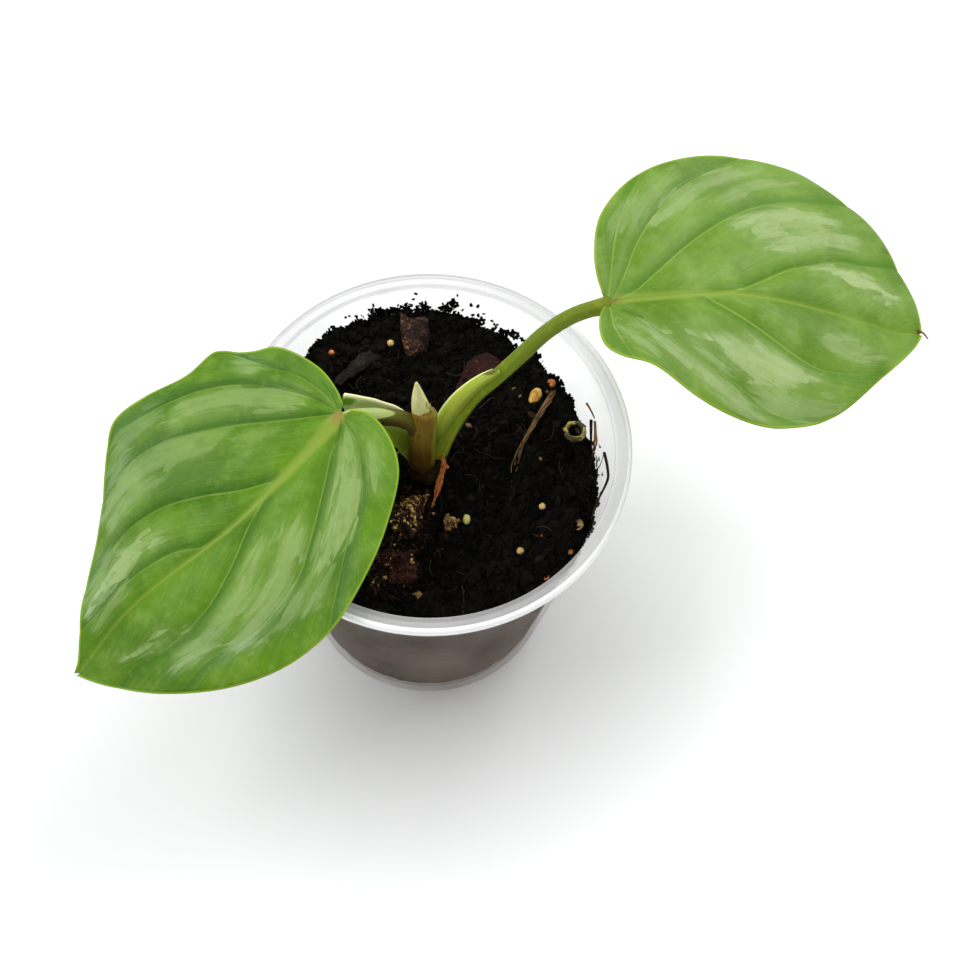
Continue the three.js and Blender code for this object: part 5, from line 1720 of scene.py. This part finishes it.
def crown_radius(t, angle):
    rings = 0.12 * math.sin(38 * t) + 0.3 * smooth((t - 0.7) / 0.2) - 0.5 * smooth((t - 0.93) / 0.07)
    radius = 2.9 + rings + 0.12 * np.cos(5 * angle) + 0.1 * np.cos(8 * angle + 1)
    return radius - 1.2 * smooth((0.15 - t) / 0.15)


stalk_piece("stem_crown", "stem", [(-0.7, 0.3, 38), (-0.7, 0.3, 45), (-0.7, 0.3, 52)], crown_radius,
            crown_finish, 70, 48, "stem")

# %% [markdown]
# ## The dry husk
# An old bract has dried to a strip of brown paper. It twists, curls across and has split along its
# middle. Cloth would be one way, but it is so small that a grid does: each row has its own width
# and lean, and noise crumples it. The attribute "slit" paints the split dark, as painted shade.

# %% The dry husk's path and width
HUSK_PATH = [(0.8, 0.6, 52.8), (2.1, 0.8, 53.7), (2.5, -0.4, 53.2), (2.1, -2.9, 52.3),
             (1.6, -5.6, 51.6), (1, -8, 51.2)]
HUSK_ROWS, HUSK_COLUMNS = 90, 23
line = curve_through(HUSK_PATH, HUSK_ROWS)
u, v = np.linspace(0, 1, HUSK_ROWS)[:, None], np.linspace(-1, 1, HUSK_COLUMNS)[None]
half_width = np.interp(u, [0, 0.14, 0.28, 0.42, 0.56, 0.72, 0.84, 1],
                       [0.26, 0.26, 0.52, 0.4, 0.58, 0.52, 0.2, 0.05])
edges = np.array([[noise.noise(Vector((a * 26, b, 5))) for b in (-1, 1)] for a in u[:, 0]])
half_width = half_width * (1 + 0.2 * np.where(v < 0, edges[:, :1], edges[:, 1:]))
half_width = half_width + 0.55 * np.exp(-((u - 0.31) / 0.022) ** 2) * (v < -0.6)
print("husk", round(float(np.linalg.norm(np.diff(line, axis=0), axis=1).sum()), 1), "mm long")

# %% Twist, curl and crumple the husk
way = np.gradient(line, axis=0)
way /= np.linalg.norm(way, axis=1)[:, None]
flat_side = np.cross(way, (0, 0, 1))
flat_side /= np.linalg.norm(flat_side, axis=1)[:, None]
lean = np.radians(np.interp(u[:, 0], [0, 0.3, 0.7, 1], [70, 25, -18, -40]))
over = np.cross(flat_side, way)
across = flat_side * np.cos(lean)[:, None] + over * np.sin(lean)[:, None]
curl = -flat_side * np.sin(lean)[:, None] + over * np.cos(lean)[:, None]
slit = np.exp(-((v - 0.15) / 0.14) ** 2) * smooth((u - 0.46) / 0.08) * smooth((0.86 - u) / 0.08)
crumple = np.array([[noise.fractal(Vector((a * 9, b * 2.4, 3)), 0.8, 2.1, 3) for b in v[0]]
                    for a in u[:, 0]])
rise = half_width * (0.5 * (1 - v ** 2) + 0.12 * np.sin(11 * v))
rise = rise + 0.34 * crumple * np.minimum(half_width, 1) - 0.4 * slit
middle = line[:, None] + across[:, None] * (half_width * v)[..., None] + curl[:, None] * rise[..., None]
HUSK_THICKNESS = 0.14
points, faces, front = thick_sheet(middle, np.full(middle.shape[:2], HUSK_THICKNESS))
print("the husk is", round(2 * float(half_width.max()), 1), "mm across at its widest")

# %% Finish of the husk
husk_finish = Finish("dry husk", roughness=0.7, specular=0.25)
place = husk_finish.attribute("place")["Vector"]
veins = husk_finish.noise(1, 4, 0.65, husk_finish.stretch(place, (6, 13, 1)))
tint = husk_finish.over((118, 52, 18), (230, 136, 56), veins, 0.38, 0.58)
# painted highlight: the palest streaks along the husk stand for light catching it
tint = husk_finish.over(tint, (250, 196, 128), veins, 0.57, 0.66, 0.9)
tint = husk_finish.over(tint, (104, 48, 18), husk_finish.noise(800), 0.58, 0.7, 0.8)
# painted shade: the split is painted dark
husk_finish.set("Base Color", husk_finish.blend(husk_finish.attribute("slit")["Fac"], tint, (58, 22, 10)))
husk_finish.bump((veins, 0.7, 0.0005))
full = np.zeros(middle.shape[:2])
where = np.column_stack([np.tile((u + full).ravel(), 2), np.tile((v + full).ravel(), 2), front])
marks = {"place": where, "slit": np.tile(smooth(slit * 1.4 - 0.3).ravel(), 2)}
settle(piece("dry_husk_paper", points, faces, husk_finish, marks), "husk", "dry_husk")

# %% [markdown]
# ## The strip of fibre
# A torn strip of coconut fibre lies on the soil. A flat ribbon with stripes would do from afar, but
# its ends are frayed, so it is a bundle of thin tubes. The strands wind round one line that follows
# the soil, part from each other at the far end, and stop one after another.

# %% Bundles of thin tubes
STRAND_STEPS, STRAND_SIDES = 60, 8


def strands(name, slot, routes, radius, finish, *stands_for):
    """Several thin tubes as one piece. Each gets thinner towards its end."""
    def narrowing(t, angle):
        return radius * (1 - 0.55 * t)

    points, faces, marks = [], [], []
    for number, route in enumerate(routes):
        tube_points, tube_faces, place = tube(route, STRAND_STEPS, STRAND_SIDES, narrowing)
        first = sum(len(p) for p in points)
        faces += [tuple(v + first for v in face) for face in tube_faces]
        points.append(tube_points)
        marks.append(np.column_stack([place[:, 0], place[:, 1] + number, np.zeros(len(place))]))
    settle(piece(name, np.vstack(points), faces, finish, {"place": np.vstack(marks)}), slot, *stands_for)


print("a strand has", STRAND_STEPS * STRAND_SIDES, "faces round it")


# %% The twisted strip
FIBRE_POINTS, FIBRE_STRANDS = 26, 7
FIBRE_ROUTE = [(21, 17.2, 0.7), (20, 14.8, 0.9), (18.8, 12, 0.8), (17.2, 8.4, 0.8), (15.7, 4.7, 0.7),
               (14.8, 0.7, 0.5)]
fibre_line = curve_through([(x, y, soil_height(x, y) + lift) for x, y, lift in FIBRE_ROUTE], FIBRE_POINTS)
strand_finish = stalk_finish("tan fibre", (160, 122, 84), (150, 118, 80), (124, 94, 62), (60, 42, 24),
                             0.8)
f = strand_finish
f.set("Base Color", f.over(f.tint, (66, 46, 28), f.noise(420, 3, 0.7), 0.48, 0.62, 0.8))
routes = []
for number in range(FIBRE_STRANDS):
    u = np.linspace(0, 1, FIBRE_POINTS)
    spin = 2 * math.pi * number / FIBRE_STRANDS + 7 * u
    spread = 0.36 + 0.14 * np.sin(11 * u + 2 * number) + 0.2 * np.sin(5 * u + number)
    spread = spread + 0.5 * smooth((u - 0.72) / 0.28)
    wind = np.column_stack([np.cos(spin), 0.4 * np.sin(spin), 0.7 * np.abs(np.sin(spin))])
    routes.append((fibre_line + spread[:, None] * wind)[:FIBRE_POINTS - 2 * (number % 4)])
strands("fibre_strands", "fibre", routes, 0.17, strand_finish, "fibre_strip")

# %% [markdown]
# ## Roots along the wall
# Dark and tan roots have grown along the pot's wall, where they show through the plastic and above
# the soil. Each is given by angles and heights on the wall, so that it touches it whatever the
# wall's slope. The main ones are listed; the short twigs between them are drawn by chance.

# %% Roots along the wall
def on_wall(places, radius):
    """Points of a root on the wall's inner side, from pairs of angle (degrees) and height (mm)."""
    angles, heights = np.radians([p[0] for p in places]), np.array([p[1] for p in places])
    out = inner_radius(heights) - radius
    return np.column_stack([out * np.cos(angles), out * np.sin(angles), heights])


DARK_ROOTS = [[(22.2, 51.2), (19.6, 49.2), (16.3, 47.2), (13.1, 45.2)],
              [(6.9, 53.8), (0.6, 55.5), (-5.2, 57), (-6.7, 54.9), (-7.6, 51.4), (-9.8, 48.8),
               (-13.5, 48.4)]]
THIN_ROOTS = [[(14.3, 42), (13.2, 43.5), (12, 45.8)], [(4.9, 43), (2.6, 45.6), (0.5, 48.3)],
              [(-1.3, 44.4), (-3.4, 45.8), (-5, 47.9)], [(9.4, 45), (7, 47.4), (6.2, 50.2), (7.4, 52.4)]]
TAN_ROOTS = [[(20.4, 52.4), (17.4, 51.2), (14.4, 50.3), (13.9, 47.8)],
             [(27.6, 52.3), (24.5, 52.6), (21, 52.8)],
             [(19.2, 52), (16.8, 50.2), (14.9, 48.6), (13.2, 46.4)]]
dark_root = stalk_finish("dark root", (16, 12, 9), (24, 18, 12), (46, 32, 20), (60, 42, 26), 0.8)
tan_root = stalk_finish("tan root", (120, 84, 42), (146, 106, 56), (104, 74, 44), (66, 44, 26), 0.8)
strands("roots_dark", "fibre", [on_wall(r, 0.3) for r in DARK_ROOTS], 0.3, dark_root)
strands("roots_thin", "fibre", [on_wall(r, 0.12) for r in THIN_ROOTS], 0.13, dark_root)
strands("roots_tan", "fibre", [on_wall(r, 0.24) for r in TAN_ROOTS], 0.24, tan_root)

# %% Short twigs between the roots
TWIG_COUNT, TWIG_ANGLES, TWIG_HEIGHTS = 18, (-9, 20), (44.5, 51.5)
draw = np.random.default_rng(17)
twigs = []
for _ in range(TWIG_COUNT):
    angle, height = draw.uniform(*TWIG_ANGLES), draw.uniform(*TWIG_HEIGHTS)
    places = [(angle, height)]
    for _ in range(2):
        places.append((places[-1][0] + draw.uniform(-2.5, 2.5), places[-1][1] + draw.uniform(-1.1, 1.1)))
    twigs.append(on_wall(places, 0.12))
strands("roots_twigs", "fibre", twigs, 0.14, dark_root)

# %% [markdown]
# ## The tip's dry tail
# The right leaf ends in a thin brown tail, a drip tip that has dried. It starts inside the blade's
# tip and follows the blade's own axes, so it stays on the leaf if the leaf's droop is changed.

# %% The dry tail of the right leaf's tip
TAIL_START = 56.8
centre, along, sideways, _ = (v[0] for v in blade_axes(RIGHT_BLADE, np.array([TAIL_START])))
tail = [centre + 0.3 * sideways - 0.8 * along, centre + 0.2 * sideways + 0.3 * along,
        centre - 0.7 * sideways + 1.3 * along]
strands("leaf_tail", "leaf", [tail], 0.24, tan_root)

# %% [markdown]
# ## The box round the scene
# The visible pieces are built to keep the size of the fixed model. Here the box round them,
# apart from the floor, is measured.

# %% The box round the scene
low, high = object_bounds()
